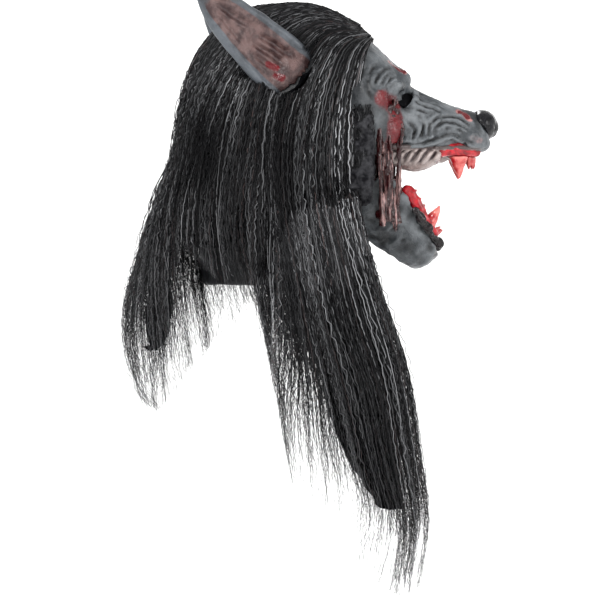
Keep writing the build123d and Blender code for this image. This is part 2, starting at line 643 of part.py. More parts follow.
# ---------------------------------------------------------------- hair that hangs free
with BuildPart() as mane:
    rows = [  # share of the length, middle behind the pivot, half thickness, share of the half width
        (0.03, 0, 27, 1.0),
        (0.27, 5, 38, 1.0),
        (0.54, 7, 45, 0.97),
        (0.72, 11, 36, 0.85),
        (0.86, 16, 22, 0.62),
        (1.0, 8, 8, 0.3),
    ]
    stations = []
    for share, behind, thick, wide in rows:
        plane = Plane.XY.offset(MANE_PIVOT.Z - share * MANE_LENGTH)
        plane = plane.move(Location((MANE_PIVOT.X - behind, 0, 0)))
        stations.append((plane, thick, wide * MANE_HALF_WIDTH))
    add(ellipse_loft(stations))
    with Locations(Location((MANE_PIVOT.X, 0, MANE_PIVOT.Z), (90, 0, 0))):
        Cylinder(MANE_ROOT_RADIUS, 2 * MANE_HALF_WIDTH)
save(mane, "mane")

with BuildPart() as lock:
    rows = [  # share of the length, share of the sweep, half length in X, share of thickness, inward shift
        (0.01, 0.0, 44, 0.9, 0),
        (0.18, 0.14, 52, 1.0, 0),
        (0.36, 0.32, 58, 1.1, 7),
        (0.53, 0.36, 66, 1.15, 12),
        (0.71, 0.5, 65, 1.1, 16),
        (0.83, 0.64, 52, 0.95, 19),
        (0.93, 0.82, 33, 0.65, 20),
        (1.0, 1.0, 9, 0.3, 20),
    ]
    stations = []
    for share, sweep_share, half_length, thick, inward in rows:
        plane = Plane.XY.offset(LOCK_PIVOT.Z - share * LOCK_LENGTH)
        plane = plane.move(Location((LOCK_PIVOT.X + sweep_share * LOCK_SWEEP, lock_y + inward, 0)))
        stations.append((plane, half_length, thick * lock_half_thickness))
    add(ellipse_loft(stations))
    with Locations(Location((LOCK_PIVOT.X, lock_y, LOCK_PIVOT.Z), (90, 0, 0))):
        Cylinder(LOCK_ROOT_RADIUS, 2 * lock_half_thickness)
both_sides("lock", lock.part)

# ---------------------------------------------------------------- linings
with BuildPart() as crown_pad:
    add(head_form(-SKIN_WALL - GLUE_GAP))
    add(block((-BIG, -BIG, 0), (BIG, BIG, BIG)), mode=Mode.INTERSECT)
save(crown_pad, "crown_pad")


def lining_pad(low, high):
    """A foam pad of even thickness against the inside of the skin."""
    with BuildPart() as pad:
        add(head_form(-SKIN_WALL - GLUE_GAP))
        add(head_form(-SKIN_WALL - GLUE_GAP - LINING), mode=Mode.SUBTRACT)
        add(block(low, high), mode=Mode.INTERSECT)
    return pad


brow_low = (SKULL_CENTRE_X + 30, -36, BROW_Z + 22)
save(lining_pad(brow_low, (BIG, 36, BROW_Z + 46)), "brow_pad")
nape_low = (-BIG, -34, EQUATOR_Z - 62)
save(lining_pad(nape_low, (SKULL_CENTRE_X - 30, 34, EQUATOR_Z - 22)), "nape_pad")
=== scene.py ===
"""Looks of the overhead latex wolf mask: sculpted latex skins, wet gums and teeth, long crimped hair.

Every size is in millimetres in the classes below and becomes metres in `mm`. Places come from the
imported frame's boxes, so a sculpt keeps to the skull, muzzle, jaw and hair that the frame holds.
"""

import json
import logging
import math
from dataclasses import dataclass
from enum import Enum
from typing import ClassVar

import bmesh
import bpy
import numpy as np
from mathutils import Matrix, Vector, noise
from mathutils.bvhtree import BVHTree


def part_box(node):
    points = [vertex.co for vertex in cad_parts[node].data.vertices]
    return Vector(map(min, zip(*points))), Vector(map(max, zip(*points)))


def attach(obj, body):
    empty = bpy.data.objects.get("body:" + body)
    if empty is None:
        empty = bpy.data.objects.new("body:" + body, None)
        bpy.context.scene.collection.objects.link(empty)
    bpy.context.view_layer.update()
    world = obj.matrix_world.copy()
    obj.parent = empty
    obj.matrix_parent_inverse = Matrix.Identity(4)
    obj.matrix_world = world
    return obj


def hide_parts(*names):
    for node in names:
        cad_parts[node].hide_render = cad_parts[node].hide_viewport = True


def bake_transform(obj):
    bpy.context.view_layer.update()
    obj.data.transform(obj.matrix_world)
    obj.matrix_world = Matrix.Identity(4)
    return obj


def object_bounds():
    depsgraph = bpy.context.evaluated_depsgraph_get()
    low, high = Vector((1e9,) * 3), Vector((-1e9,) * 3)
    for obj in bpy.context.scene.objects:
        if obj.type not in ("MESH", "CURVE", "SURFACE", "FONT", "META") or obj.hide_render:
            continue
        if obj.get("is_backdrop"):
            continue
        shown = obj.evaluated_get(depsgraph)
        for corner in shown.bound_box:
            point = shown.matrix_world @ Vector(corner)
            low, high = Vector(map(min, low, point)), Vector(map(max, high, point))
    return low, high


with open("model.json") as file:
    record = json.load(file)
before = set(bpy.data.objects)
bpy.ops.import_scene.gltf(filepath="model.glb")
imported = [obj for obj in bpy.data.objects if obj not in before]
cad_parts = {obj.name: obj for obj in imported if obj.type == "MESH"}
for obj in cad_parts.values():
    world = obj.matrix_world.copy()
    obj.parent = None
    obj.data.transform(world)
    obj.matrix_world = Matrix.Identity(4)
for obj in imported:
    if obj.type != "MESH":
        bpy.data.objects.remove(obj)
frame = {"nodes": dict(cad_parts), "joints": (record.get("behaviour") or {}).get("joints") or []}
log = logging.getLogger("wolf_mask")
MM = 0.001
Triple = tuple[float, float, float]
Line = list[Triple]  # points in millimetres
Socket = bpy.types.NodeSocket


def mm(*values: float) -> Vector:
    """Turns millimetres into a vector in metres."""
    return Vector(values) * MM


class Side(Enum):
    """The two halves of the mask, with the sign of Y on each."""

    RIGHT = -1
    LEFT = 1

    @property
    def label(self) -> str:
        """The word used in node and piece names."""
        return self.name.lower()


# ---------------------------------------------------------------- mesh helpers
def object_from(bm: bmesh.types.BMesh, name: str, smooth: bool = True) -> bpy.types.Object:
    """Writes a bmesh to a new object at the origin.

    Args:
        bm: The finished bmesh, which is freed.
        name: The piece's name.
        smooth: Whether its faces are shaded smooth.

    Returns:
        The new object, linked to the scene.
    """
    mesh = bpy.data.meshes.new(name)
    bm.to_mesh(mesh)
    bm.free()
    mesh.polygons.foreach_set("use_smooth", [smooth] * len(mesh.polygons))
    obj = bpy.data.objects.new(name, mesh)
    bpy.context.scene.collection.objects.link(obj)
    return obj


def settle(obj: bpy.types.Object) -> bpy.types.Object:
    """Applies every modifier of an object to its mesh and removes the modifiers."""
    graph = bpy.context.evaluated_depsgraph_get()
    mesh = bpy.data.meshes.new_from_object(obj.evaluated_get(graph))
    old = obj.data
    obj.modifiers.clear()
    obj.data = mesh
    bpy.data.meshes.remove(old)
    mesh.polygons.foreach_set("use_smooth", [True] * len(mesh.polygons))
    return obj


def discard(*objects: bpy.types.Object) -> None:
    """Removes helper objects from the scene."""
    for obj in objects:
        bpy.data.objects.remove(obj, do_unlink=True)


@dataclass(frozen=True)
class Ring:
    """One cross-section of a lofted form, in millimetres.

    Args:
        centre: The section's middle.
        wide: Half size across the section's first axis.
        up: Half size above the middle.
        down: Half size below the middle.
        square: 2 is an ellipse, and more is squarer.
    """

    centre: Triple
    wide: float
    up: float
    down: float
    square: float = 2.0


def loft(
    name: str, rings: list[Ring], across: Vector, upward: Vector, segments: int = 48
) -> bpy.types.Object:
    """Extrudes a circle through a row of rings and closes both ends.

    Args:
        name: The object's name.
        rings: The sections in order.
        across: Unit direction of each section's width.
        upward: Unit direction of each section's height.
        segments: Points round a section.

    Returns:
        A closed solid.
    """
    bm = bmesh.new()
    made = bmesh.ops.create_circle(bm, segments=segments, radius=1.0)
    units = [(v.co.x, v.co.y) for v in made["verts"]]
    row = list(made["verts"])
    edges = list(bm.edges)
    for number, ring in enumerate(rings):
        if number:
            out = bmesh.ops.extrude_edge_only(bm, edges=edges)
            new = [g for g in out["geom"] if isinstance(g, bmesh.types.BMVert)]
            edges = [
                g for g in out["geom"] if isinstance(g, bmesh.types.BMEdge) and all(v in new for v in g.verts)
            ]
            nearest = {v.co.copy().freeze(): v for v in new}
            row = [nearest[old.co.copy().freeze()] for old in row]
        for vert, (a, b) in zip(row, units):
            stretch = (abs(a) ** ring.square + abs(b) ** ring.square) ** (-1.0 / ring.square)
            height = ring.up if b > 0 else ring.down
            place = mm(*ring.centre) + across * (a * stretch * ring.wide * MM)
            vert.co = place + upward * (b * stretch * height * MM)
    bmesh.ops.holes_fill(bm, edges=[e for e in bm.edges if e.is_boundary], sides=0)
    bmesh.ops.recalc_face_normals(bm, faces=bm.faces)
    return object_from(bm, name)


def ball(
    name: str, centre: Vector, radii: Vector, turn: Matrix | None = None, detail: int = 4
) -> bpy.types.Object:
    """An ellipsoid of triangles.

    Args:
        name: The object's name.
        centre: Its middle, in metres.
        radii: Its three half sizes, in metres.
        turn: A rotation applied before it is placed.
        detail: Subdivisions of the icosphere.

    Returns:
        The closed solid.
    """
    bm = bmesh.new()
    bmesh.ops.create_icosphere(bm, subdivisions=detail, radius=1.0)
    bmesh.ops.scale(bm, vec=radii, verts=bm.verts)
    if turn is not None:
        bmesh.ops.transform(bm, matrix=turn.to_4x4(), verts=bm.verts)
    bmesh.ops.translate(bm, vec=centre, verts=bm.verts)
    return object_from(bm, name)


def slab(name: str, low: Triple, high: Triple) -> bpy.types.Object:
    """A box between two corners in millimetres, used to cut with."""
    bm = bmesh.new()
    bmesh.ops.create_cube(bm, size=1.0)
    bmesh.ops.scale(bm, vec=mm(*high) - mm(*low), verts=bm.verts)
    bmesh.ops.translate(bm, vec=0.5 * (mm(*low) + mm(*high)), verts=bm.verts)
    return object_from(bm, name)


def joined(name: str, parts: list[bpy.types.Object]) -> bpy.types.Object:
    """Joins objects into one mesh, with their surfaces left crossing."""
    bm = bmesh.new()
    for part in parts:
        bm.from_mesh(part.data)
    discard(*parts)
    return object_from(bm, name)


def remeshed(obj: bpy.types.Object, voxel: float) -> bpy.types.Object:
    """Unites crossing solids into one skin of even faces.

    Args:
        obj: Closed solids that may cross.
        voxel: Size of a face in millimetres.

    Returns:
        The same object with its new mesh.
    """
    modifier = obj.modifiers.new("skin", "REMESH")
    modifier.mode = "VOXEL"
    modifier.voxel_size = voxel * MM
    modifier.use_smooth_shade = True
    return settle(obj)


def cut(obj: bpy.types.Object, cutters: list[bpy.types.Object]) -> bpy.types.Object:
    """Takes closed cutters out of a closed solid, one after another."""
    for cutter in cutters:
        modifier = obj.modifiers.new("cut", "BOOLEAN")
        modifier.operation = "DIFFERENCE"
        modifier.solver = "EXACT"
        modifier.object = cutter
        settle(obj)
    discard(*cutters)
    return obj


def relax(obj: bpy.types.Object, times: int, factor: float = 0.5) -> None:
    """Smooths a mesh evenly."""
    bm = bmesh.new()
    bm.from_mesh(obj.data)
    for _ in range(times):
        bmesh.ops.smooth_vert(
            bm, verts=bm.verts, factor=factor, use_axis_x=True, use_axis_y=True, use_axis_z=True
        )
    bm.to_mesh(obj.data)
    bm.free()


class Sculpt:
    """Strokes on a mesh: each moves points near a line along the surface's normals."""

    def __init__(self, obj: bpy.types.Object, inside: Vector | None = None) -> None:
        """Reads the mesh's points and normals.

        Args:
            obj: The piece to work on.
            inside: A point inside the head. Points whose normals face it are on the inner wall and
                are left alone.
        """
        self.obj = obj
        count = len(obj.data.vertices)
        self.points = np.empty(count * 3)
        self.normals = np.empty(count * 3)
        obj.data.vertices.foreach_get("co", self.points)
        obj.data.vertices.foreach_get("normal", self.normals)
        self.points = self.points.reshape(-1, 3) / MM
        self.normals = self.normals.reshape(-1, 3)
        self.outer = np.ones(count)
        if inside is not None:
            away = self.points - np.array(inside) / MM
            self.outer = (np.einsum("ij,ij->i", away, self.normals) > 0).astype(float)
        self.masks: dict[str, np.ndarray] = {}
        self.waver = np.array([noise.noise(Vector(p) / 11.0) for p in self.points])

    def distance(self, line: Line) -> tuple[np.ndarray, np.ndarray]:
        """Distance to a polyline, and how far along it the nearest point is, from 0 to 1."""
        best = np.full(len(self.points), 1e9)
        along = np.zeros(len(self.points))
        pts = np.array(line, dtype=float)
        spans = max(len(pts) - 1, 1)
        if len(pts) == 1:
            return np.linalg.norm(self.points - pts[0], axis=1), along
        for n in range(spans):
            a, b = pts[n], pts[n + 1]
            ab = b - a
            t = np.clip(((self.points - a) @ ab) / max(ab @ ab, 1e-9), 0, 1)
            d = np.linalg.norm(self.points - a - t[:, None] * ab, axis=1)
            near = d < best
            best = np.where(near, d, best)
            along = np.where(near, (n + t) / spans, along)
        return best, along

    def on_side(self, x: float, z: float) -> Triple:
        """The outermost point of the right half near a forward place and a height."""
        off = np.hypot(self.points[:, 0] - x, self.points[:, 2] - z)
        facing = (self.points[:, 1] < 1) & (self.normals[:, 1] < 0.2) & (self.outer > 0)
        near = np.where(facing, off, 1e6)
        close = near < near.min() + 2.0
        return (x, float(self.points[close, 1].min()), z)

    @staticmethod
    def mirrored(line: Line, both: bool) -> list[Line]:
        """The line on the right side, and its mirror image when both sides are wanted."""
        right = [(x, -abs(y), z) for x, y, z in line]
        return [right, [(x, -y, z) for x, y, z in right]] if both else [right]

    def fold(
        self, line: Line, width: float, depth: float, lip: float = 0.6, both: bool = True
    ) -> None:
        """Presses a groove along a line and raises soft ridges beside it, fading at both ends, and marks the
        groove as dark paint and painted shade.
        """
        for path in self.mirrored(line, both):
            d, along = self.distance(path)
            d = np.abs(d + 1.1 * width * self.waver * np.clip(d / width, 0, 1))
            fade = np.clip(np.sin(np.pi * np.clip(along, 0.02, 0.98)) * 1.6, 0, 1) * self.outer
            fade = fade * np.clip(0.9 + 1.5 * self.waver, 0.1, 1.4)
            groove = np.exp(-((d / width) ** 2))
            ridge = np.exp(-(((d - 2.1 * width) / (1.1 * width)) ** 2))
            self.points += self.normals * ((lip * depth * ridge - depth * groove) * fade)[:, None]
            # The groove goes into the mask of dark paint and painted shade.
            self.mark("crease", groove * fade)

    def swell(
        self, line: Line, width: float, height: float, both: bool = True
    ) -> None:
        """Raises, or with a negative height sinks, the surface near a line."""
        for path in self.mirrored(line, both):
            d, _ = self.distance(path)
            self.points += self.normals * (height * np.exp(-((d / width) ** 2)) * self.outer)[:, None]

    def lumps(self, size: float, height: float) -> None:
        """Uneven swellings all over, `size` millimetres across."""
        rise = np.array([noise.noise(Vector(p) / size) for p in self.points])
        self.points += self.normals * (height * rise * self.outer)[:, None]

    def mark(self, name: str, values: np.ndarray) -> None:
        """Adds to a named mask, which keeps the larger value."""
        old = self.masks.get(name, np.zeros(len(self.points)))
        self.masks[name] = np.maximum(old, values)

    def paint(
        self, name: str, line: Line, width: float, amount: float = 1.0, both: bool = True
    ) -> None:
        """Marks the surface near a line, with a soft edge."""
        for path in self.mirrored(line, both):
            d, _ = self.distance(path)
            self.mark(name, amount * np.exp(-((d / width) ** 4)) * self.outer)

    def write(self, masks: tuple[str, ...]) -> bpy.types.Object:
        """Writes the points and the named masks back to the mesh."""
        mesh = self.obj.data
        mesh.vertices.foreach_set("co", (self.points * MM).ravel())
        for name in masks:
            layer = mesh.attributes.new(name, "FLOAT", "POINT")
            layer.data.foreach_set("value", self.masks.get(name, np.zeros(len(self.points))))
        mesh.update()
        return self.obj

    def refresh(self) -> None:
        """Recomputes the normals after strokes, so that later strokes follow the new surface."""
        mesh = self.obj.data
        mesh.vertices.foreach_set("co", (self.points * MM).ravel())
        mesh.update()
        flat = np.empty(len(self.points) * 3)
        mesh.vertices.foreach_get("normal", flat)
        self.normals = flat.reshape(-1, 3)


# ---------------------------------------------------------------- shader helpers
class Nodes:
    """A short way to lay out shader nodes."""

    def __init__(self, tree: bpy.types.NodeTree) -> None:
        """Keeps the tree that nodes are added to."""
        self.tree = tree

    def add(self, kind: str, **settings: object) -> bpy.types.Node:
        """Adds a node and sets its properties or the default values of its sockets."""
        node = self.tree.nodes.new(kind)
        for key, value in settings.items():
            if hasattr(node, key):
                setattr(node, key, value)
            else:
                node.inputs[key.replace("_", " ")].default_value = value
        return node

    def link(self, source: Socket, target: Socket) -> None:
        """Links two sockets."""
        self.tree.links.new(source, target)

    def mix(self, factor: object, first: object, second: object, blend: str = "MIX") -> Socket:
        """Mixes two colours, each a socket or a colour.

        Args:
            factor: A socket or a number.
            first: The colour at factor 0.
            second: The colour at factor 1.
            blend: The blending mode.

        Returns:
            The mixed colour's socket.
        """
        node = self.add("ShaderNodeMix", data_type="RGBA", blend_type=blend)
        for index, value in ((0, factor), (6, first), (7, second)):
            if isinstance(value, Socket):
                self.link(value, node.inputs[index])
            elif index:
                node.inputs[index].default_value = (*value[:3], 1.0)
            else:
                node.inputs[index].default_value = value
        return node.outputs[2]

    def math(self, kind: str, *values: object, clamp: bool = False) -> Socket:
        """A math node on sockets or numbers."""
        node = self.add("ShaderNodeMath", operation=kind, use_clamp=clamp)
        for index, value in enumerate(values):
            if isinstance(value, Socket):
                self.link(value, node.inputs[index])
            else:
                node.inputs[index].default_value = value
        return node.outputs[0]

    def noise(self, vector: Socket, scale: float, detail: float = 4.0, rough: float = 0.55) -> Socket:
        """A noise value over the surface."""
        node = self.add("ShaderNodeTexNoise")
        node.inputs["Scale"].default_value = scale
        node.inputs["Detail"].default_value = detail
        node.inputs["Roughness"].default_value = rough
        self.link(vector, node.inputs["Vector"])
        return node.outputs["Fac"]

    def ramp(self, value: Socket, low: float, high: float) -> Socket:
        """Stretches a value so that low becomes 0 and high becomes 1."""
        node = self.add("ShaderNodeMapRange", clamp=True)
        node.interpolation_type = "SMOOTHSTEP"
        node.inputs["From Min"].default_value = low
        node.inputs["From Max"].default_value = high
        self.link(value, node.inputs["Value"])
        return node.outputs["Result"]

    def mask(self, name: str) -> Socket:
        """A mask that the sculpt wrote on the mesh."""
        node = self.add("ShaderNodeAttribute", attribute_name=name)
        return node.outputs["Fac"]


def new_material(name: str) -> tuple[bpy.types.Material, Nodes, bpy.types.Node, Socket]:
    """Starts a material.

    Args:
        name: Its name.

    Returns:
        The material, its node helper, its Principled BSDF and the object coordinates.
    """
    material = bpy.data.materials.new(name)
    material.use_nodes = True
    nodes = Nodes(material.node_tree)
    shader = next(n for n in material.node_tree.nodes if n.type == "BSDF_PRINCIPLED")
    coords = nodes.add("ShaderNodeTexCoord").outputs["Object"]
    return material, nodes, shader, coords


def bumped(nodes: Nodes, shader: bpy.types.Node, height: Socket, distance: float, strength: float) -> None:
    """Feeds a height into the shader's normal."""
    bump = nodes.add("ShaderNodeBump")
    bump.inputs["Strength"].default_value = strength
    bump.inputs["Distance"].default_value = distance
    nodes.link(height, bump.inputs["Height"])
    nodes.link(bump.outputs["Normal"], shader.inputs["Normal"])


def pore_group() -> bpy.types.NodeTree:
    """Fine pores and mottling of cast latex, shared by every latex finish.

    Returns:
        A group from a vector to a mottle value and a pore height.
    """
    name = "latex_pores"
    if name in bpy.data.node_groups:
        return bpy.data.node_groups[name]
    tree = bpy.data.node_groups.new(name, "ShaderNodeTree")
    tree.interface.new_socket("Vector", in_out="INPUT", socket_type="NodeSocketVector")
    tree.interface.new_socket("Mottle", in_out="OUTPUT", socket_type="NodeSocketFloat")
    tree.interface.new_socket("Height", in_out="OUTPUT", socket_type="NodeSocketFloat")
    nodes = Nodes(tree)
    start = nodes.add("NodeGroupInput")
    end = nodes.add("NodeGroupOutput")
    place = start.outputs["Vector"]
    broad = nodes.noise(place, 45.0, 5.0, 0.6)
    fine = nodes.noise(place, 420.0, 3.0, 0.6)
    cells = nodes.add("ShaderNodeTexVoronoi", feature="DISTANCE_TO_EDGE")
    cells.inputs["Scale"].default_value = 260.0
    nodes.link(place, cells.inputs["Vector"])
    crackle = nodes.ramp(cells.outputs["Distance"], 0.0, 0.18)
    height = nodes.math("ADD", nodes.math("MULTIPLY", crackle, 0.55), nodes.math("MULTIPLY", fine, 0.6))
    height = nodes.math("ADD", height, nodes.math("MULTIPLY", broad, 0.8))
    nodes.link(broad, end.inputs["Mottle"])
    nodes.link(height, end.inputs["Height"])
    return tree


def shared(finish: "LatexFinish | WetFinish | FibreFinish | CoreFinish") -> bpy.types.Material:
    """A finish's material, made on its first use and found again by name after that."""
    return bpy.data.materials.get(finish.name) or finish.build()


@dataclass(frozen=True)
class LatexFinish:
    """Painted latex: a dark wash with painted shade in the creases and hollows, and a pale dry brush with
    painted highlight on the ridges.
    """

    name: str
    base: Triple
    # deep is the dark of the wash and of the painted shade; raised is the pale of the mottle, the dry brush
    # and the painted highlight.
    deep: Triple
    raised: Triple
    roughness: float = 0.42
    coat: float = 0.12
    flesh_deep: Triple = (0.30, 0.14, 0.14)
    flesh_pale: Triple = (0.55, 0.36, 0.34)
    MASKS: ClassVar[tuple[str, ...]] = ("crease", "blood", "flesh", "wet")

    def build(self) -> bpy.types.Material:
        """Makes the material, which reads the masks of dark paint and painted shade, blood and flesh."""
        material, nodes, shader, coords = new_material(self.name)
        pores = nodes.add("ShaderNodeGroup", node_tree=pore_group())
        nodes.link(coords, pores.inputs["Vector"])
        mottle = nodes.ramp(pores.outputs["Mottle"], 0.3, 0.7)
        colour = nodes.mix(mottle, self.base, self.raised)
        # Pointiness lays a painted highlight on the ridges and painted shade in the hollows, together with
        # the dry brush and the wash.
        point = nodes.add("ShaderNodeNewGeometry").outputs["Pointiness"]
        ridge = nodes.ramp(point, 0.505, 0.56)
        hollow = nodes.ramp(point, 0.495, 0.44)
        colour = nodes.mix(nodes.math("MULTIPLY", ridge, 0.75), colour, self.raised)
        worn = nodes.noise(coords, 120.0, 6.0, 0.7)
        colour = nodes.mix(nodes.math("MULTIPLY", hollow, 0.85), colour, self.deep)
        # This mask darkens with dark paint and stains, and with painted shade in folds, recesses and under
        # the hair.
        crease = nodes.math("MULTIPLY", nodes.mask("crease"), 0.85)
        colour = nodes.mix(crease, colour, self.deep)
        flesh = nodes.ramp(
            nodes.math("ADD", nodes.mask("flesh"), nodes.math("MULTIPLY", worn, 0.5)), 0.55, 0.95
        )
        flesh_colour = nodes.mix(
            nodes.ramp(nodes.noise(coords, 90.0), 0.35, 0.65), self.flesh_deep, self.flesh_pale
        )
        colour = nodes.mix(flesh, colour, flesh_colour)
        blood = nodes.ramp(
            nodes.math("ADD", nodes.mask("blood"), nodes.math("MULTIPLY", worn, 0.6)), 0.6, 0.95
        )
        blood_colour = nodes.mix(nodes.noise(coords, 70.0), (0.018, 0.001, 0.0015), (0.15, 0.008, 0.012))
        colour = nodes.mix(blood, colour, blood_colour)
        nodes.link(colour, shader.inputs["Base Color"])
        wet = nodes.math("MAXIMUM", blood, nodes.mask("wet"))
        rough = nodes.math(
            "MULTIPLY", nodes.math("SUBTRACT", 1.0, nodes.math("MULTIPLY", wet, 0.65)), self.roughness
        )
        nodes.link(rough, shader.inputs["Roughness"])
        shader.inputs["Specular IOR Level"].default_value = 0.28
        shader.inputs["Coat Weight"].default_value = 0.4 * self.coat
        shader.inputs["Coat Roughness"].default_value = 0.25
        shader.inputs["Subsurface Weight"].default_value = 0.0
        bumped(nodes, shader, pores.outputs["Height"], 0.0006, 0.55)
        return material


@dataclass(frozen=True)
class WetFinish:
    """A glossy wet paint with a darker and a brighter colour."""

    name: str
    dark: Triple
    bright: Triple
    scale: float = 140.0
    roughness: float = 0.16
    coat: float = 0.8
    relief: float = 0.0005
    root_mask: bool = False
    stretch: float = 1.0
    spread: tuple[float, float] = (0.32, 0.68)
    specular: float = 0.22

    def build(self) -> bpy.types.Material:
        """Makes the material."""
        material, nodes, shader, coords = new_material(self.name)
        if self.stretch != 1.0:
            mapping = nodes.add("ShaderNodeMapping")
            mapping.inputs["Scale"].default_value = (1.0, 1.0, self.stretch)
            nodes.link(coords, mapping.inputs["Vector"])
            coords = mapping.outputs["Vector"]
        tone = nodes.ramp(nodes.noise(coords, self.scale, 5.0, 0.6), *self.spread)
        if self.root_mask:
            tone = nodes.math("SUBTRACT", tone, nodes.math("MULTIPLY", nodes.mask("root"), 0.8), clamp=True)
        nodes.link(nodes.mix(tone, self.dark, self.bright), shader.inputs["Base Color"])
        shader.inputs["Roughness"].default_value = self.roughness
        shader.inputs["Specular IOR Level"].default_value = self.specular
        shader.inputs["Coat Weight"].default_value = 0.4 * self.coat
        shader.inputs["Coat Roughness"].default_value = 0.06
        bumped(nodes, shader, nodes.noise(coords, self.scale * 2.2, 4.0), self.relief, 0.6)
        return material


@dataclass(frozen=True)
class FoamFinish:
    """Open-cell foam."""

    name: str
    colour: Triple

    def build(self) -> bpy.types.Material:
        """Makes the material."""
        material, nodes, shader, coords = new_material(self.name)
        cells = nodes.add("ShaderNodeTexVoronoi")
        cells.inputs["Scale"].default_value = 900.0
        nodes.link(coords, cells.inputs["Vector"])
        tone = nodes.ramp(cells.outputs["Distance"], 0.1, 0.6)
        pale = tuple(c * 1.8 for c in self.colour)
        nodes.link(nodes.mix(tone, self.colour, pale), shader.inputs["Base Color"])
        shader.inputs["Roughness"].default_value = 0.95
        bumped(nodes, shader, cells.outputs["Distance"], 0.0008, 0.7)
        return material


@dataclass(frozen=True)
class FibreFinish:
    """Dyed synthetic fibre, whose tone and warmth change from strand to strand, and whose tone carries
    painted light and shade along each.
    """

    name: str
    black: Triple
    pale: Triple
    brown: Triple
    roughness: float = 0.42

    def build(self) -> bpy.types.Material:
        """Makes the material, which reads the attributes tone and warm."""
        material, nodes, shader, _ = new_material(self.name)
        colour = nodes.mix(nodes.mask("tone"), self.black, self.pale)
        colour = nodes.mix(nodes.mask("warm"), colour, nodes.mix(nodes.mask("tone"), self.black, self.brown))
        nodes.link(colour, shader.inputs["Base Color"])
        shader.inputs["Roughness"].default_value = self.roughness
        shader.inputs["Specular IOR Level"].default_value = 0.09
        return material


@dataclass(frozen=True)
class CoreFinish:
    """Dense hair seen between strands: nearly black, for the black fibres and for painted shade deep in the
    hair, streaked downwards.
    """

    name: str
    black: Triple
    streak: Triple

    def build(self) -> bpy.types.Material:
        """Makes the material."""
        material, nodes, shader, coords = new_material(self.name)
        stretch = nodes.add("ShaderNodeMapping")
        stretch.inputs["Scale"].default_value = (1.0, 1.0, 0.06)
        nodes.link(coords, stretch.inputs["Vector"])
        tone = nodes.ramp(nodes.noise(stretch.outputs["Vector"], 330.0, 3.0), 0.45, 0.8)
        nodes.link(nodes.mix(tone, self.black, self.streak), shader.inputs["Base Color"])
        shader.inputs["Roughness"].default_value = 0.9
        shader.inputs["Specular IOR Level"].default_value = 0.0
        bumped(nodes, shader, tone, 0.001, 0.8)
        return material


SKIN = LatexFinish(
    "slate_latex",
    (0.030, 0.034, 0.038),
    (0.0025, 0.0025, 0.003),
    (0.115, 0.124, 0.132),
    flesh_deep=(0.13, 0.035, 0.036),
    flesh_pale=(0.34, 0.17, 0.16),
)
EAR_SKIN = LatexFinish(
    "painted_ear_latex",
    (0.022, 0.025, 0.029),
    (0.003, 0.003, 0.003),
    (0.075, 0.084, 0.096),
    flesh_deep=(0.026, 0.012, 0.012),
    flesh_pale=(0.095, 0.056, 0.052),
)
PALATE_SKIN = LatexFinish(
    "palate_latex", (0.17, 0.13, 0.12), (0.02, 0.009, 0.010), (0.34, 0.29, 0.275), 0.30, 0.35
)
NOSE = WetFinish("wet_nose", (0.002, 0.002, 0.0025), (0.009, 0.009, 0.011), 300.0, 0.12, 0.5, specular=0.12)
GUM = WetFinish("bloody_gum", (0.10, 0.002, 0.004), (0.42, 0.012, 0.020), 130.0)
TOOTH = WetFinish("bloody_tooth", (0.28, 0.008, 0.012), (0.62, 0.17, 0.145), 70.0, 0.14, 0.9, 0.0002, True)
TONGUE = WetFinish("wet_tongue", (0.22, 0.01, 0.02), (0.40, 0.04, 0.05), 200.0)
LIP = WetFinish(
    "wet_lip", (0.002, 0.002, 0.002), (0.012, 0.008, 0.009), 240.0, 0.14, 0.6, 0.0006, specular=0.12
)
EYE = WetFinish(
    "eye_mesh_black", (0.001, 0.001, 0.001), (0.005, 0.005, 0.006), 900.0, 0.6, 0.0, 0.0006, specular=0.02
)
MATTED = WetFinish(
    "matted_fur", (0.004, 0.004, 0.005), (0.034, 0.034, 0.037), 130.0, 0.6, 0.0, 0.0012, specular=0.03
)
SINEW = WetFinish(
    "torn_sinew",
    (0.014, 0.0015, 0.002),
    (0.34, 0.20, 0.19),
    230.0,
    0.25,
    0.6,
    stretch=0.16,
    spread=(0.50, 0.72),
)
FOAM = FoamFinish("pad_foam", (0.035, 0.035, 0.038))
FIBRE = FibreFinish("hair_fibre", (0.0015, 0.0015, 0.002), (0.38, 0.385, 0.40), (0.30, 0.21, 0.20))
CORE = CoreFinish("hair_core", (0.0015, 0.0015, 0.0018), (0.006, 0.006, 0.007))


# ---------------------------------------------------------------- anchors from the frame
@dataclass
class Anchors:
    """Places that the sculpts start from, in millimetres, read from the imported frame."""

    skull_front: float = 0.0
    skull_back: float = 0.0
    skull_top: float = 0.0
    skull_half_width: float = 0.0
    neck_z: float = 0.0
    lip_z: float = 0.0
    nose_tip: float = 0.0
    equator: float = 0.0

    @classmethod
    def read(cls) -> "Anchors":
        """Reads the boxes of the skins and the hair."""
        low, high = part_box("head_skin")
        muzzle_low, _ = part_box("muzzle_skin")
        _, nose_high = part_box("nose_pad")
        crown_low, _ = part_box("crown_hair")
        return cls(
            skull_front=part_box("palate")[0][0] / MM + 4,
            skull_back=low[0] / MM,
            skull_top=high[2] / MM,
            skull_half_width=high[1] / MM,
            neck_z=low[2] / MM,
            lip_z=muzzle_low[2] / MM,
            nose_tip=nose_high[0] / MM,
            equator=crown_low[2] / MM - 1.0,
        )


def box_mm(node: str) -> tuple[Vector, Vector]:
    """The two corners of a node's box, in millimetres."""
    low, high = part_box(node)
    return Vector(low) / MM, Vector(high) / MM


def joint_place(name: str) -> Vector:
    """A joint's pivot from the frame, in metres."""
    return Vector(next(j["pos_m"] for j in frame["joints"] if j["name"] == name))


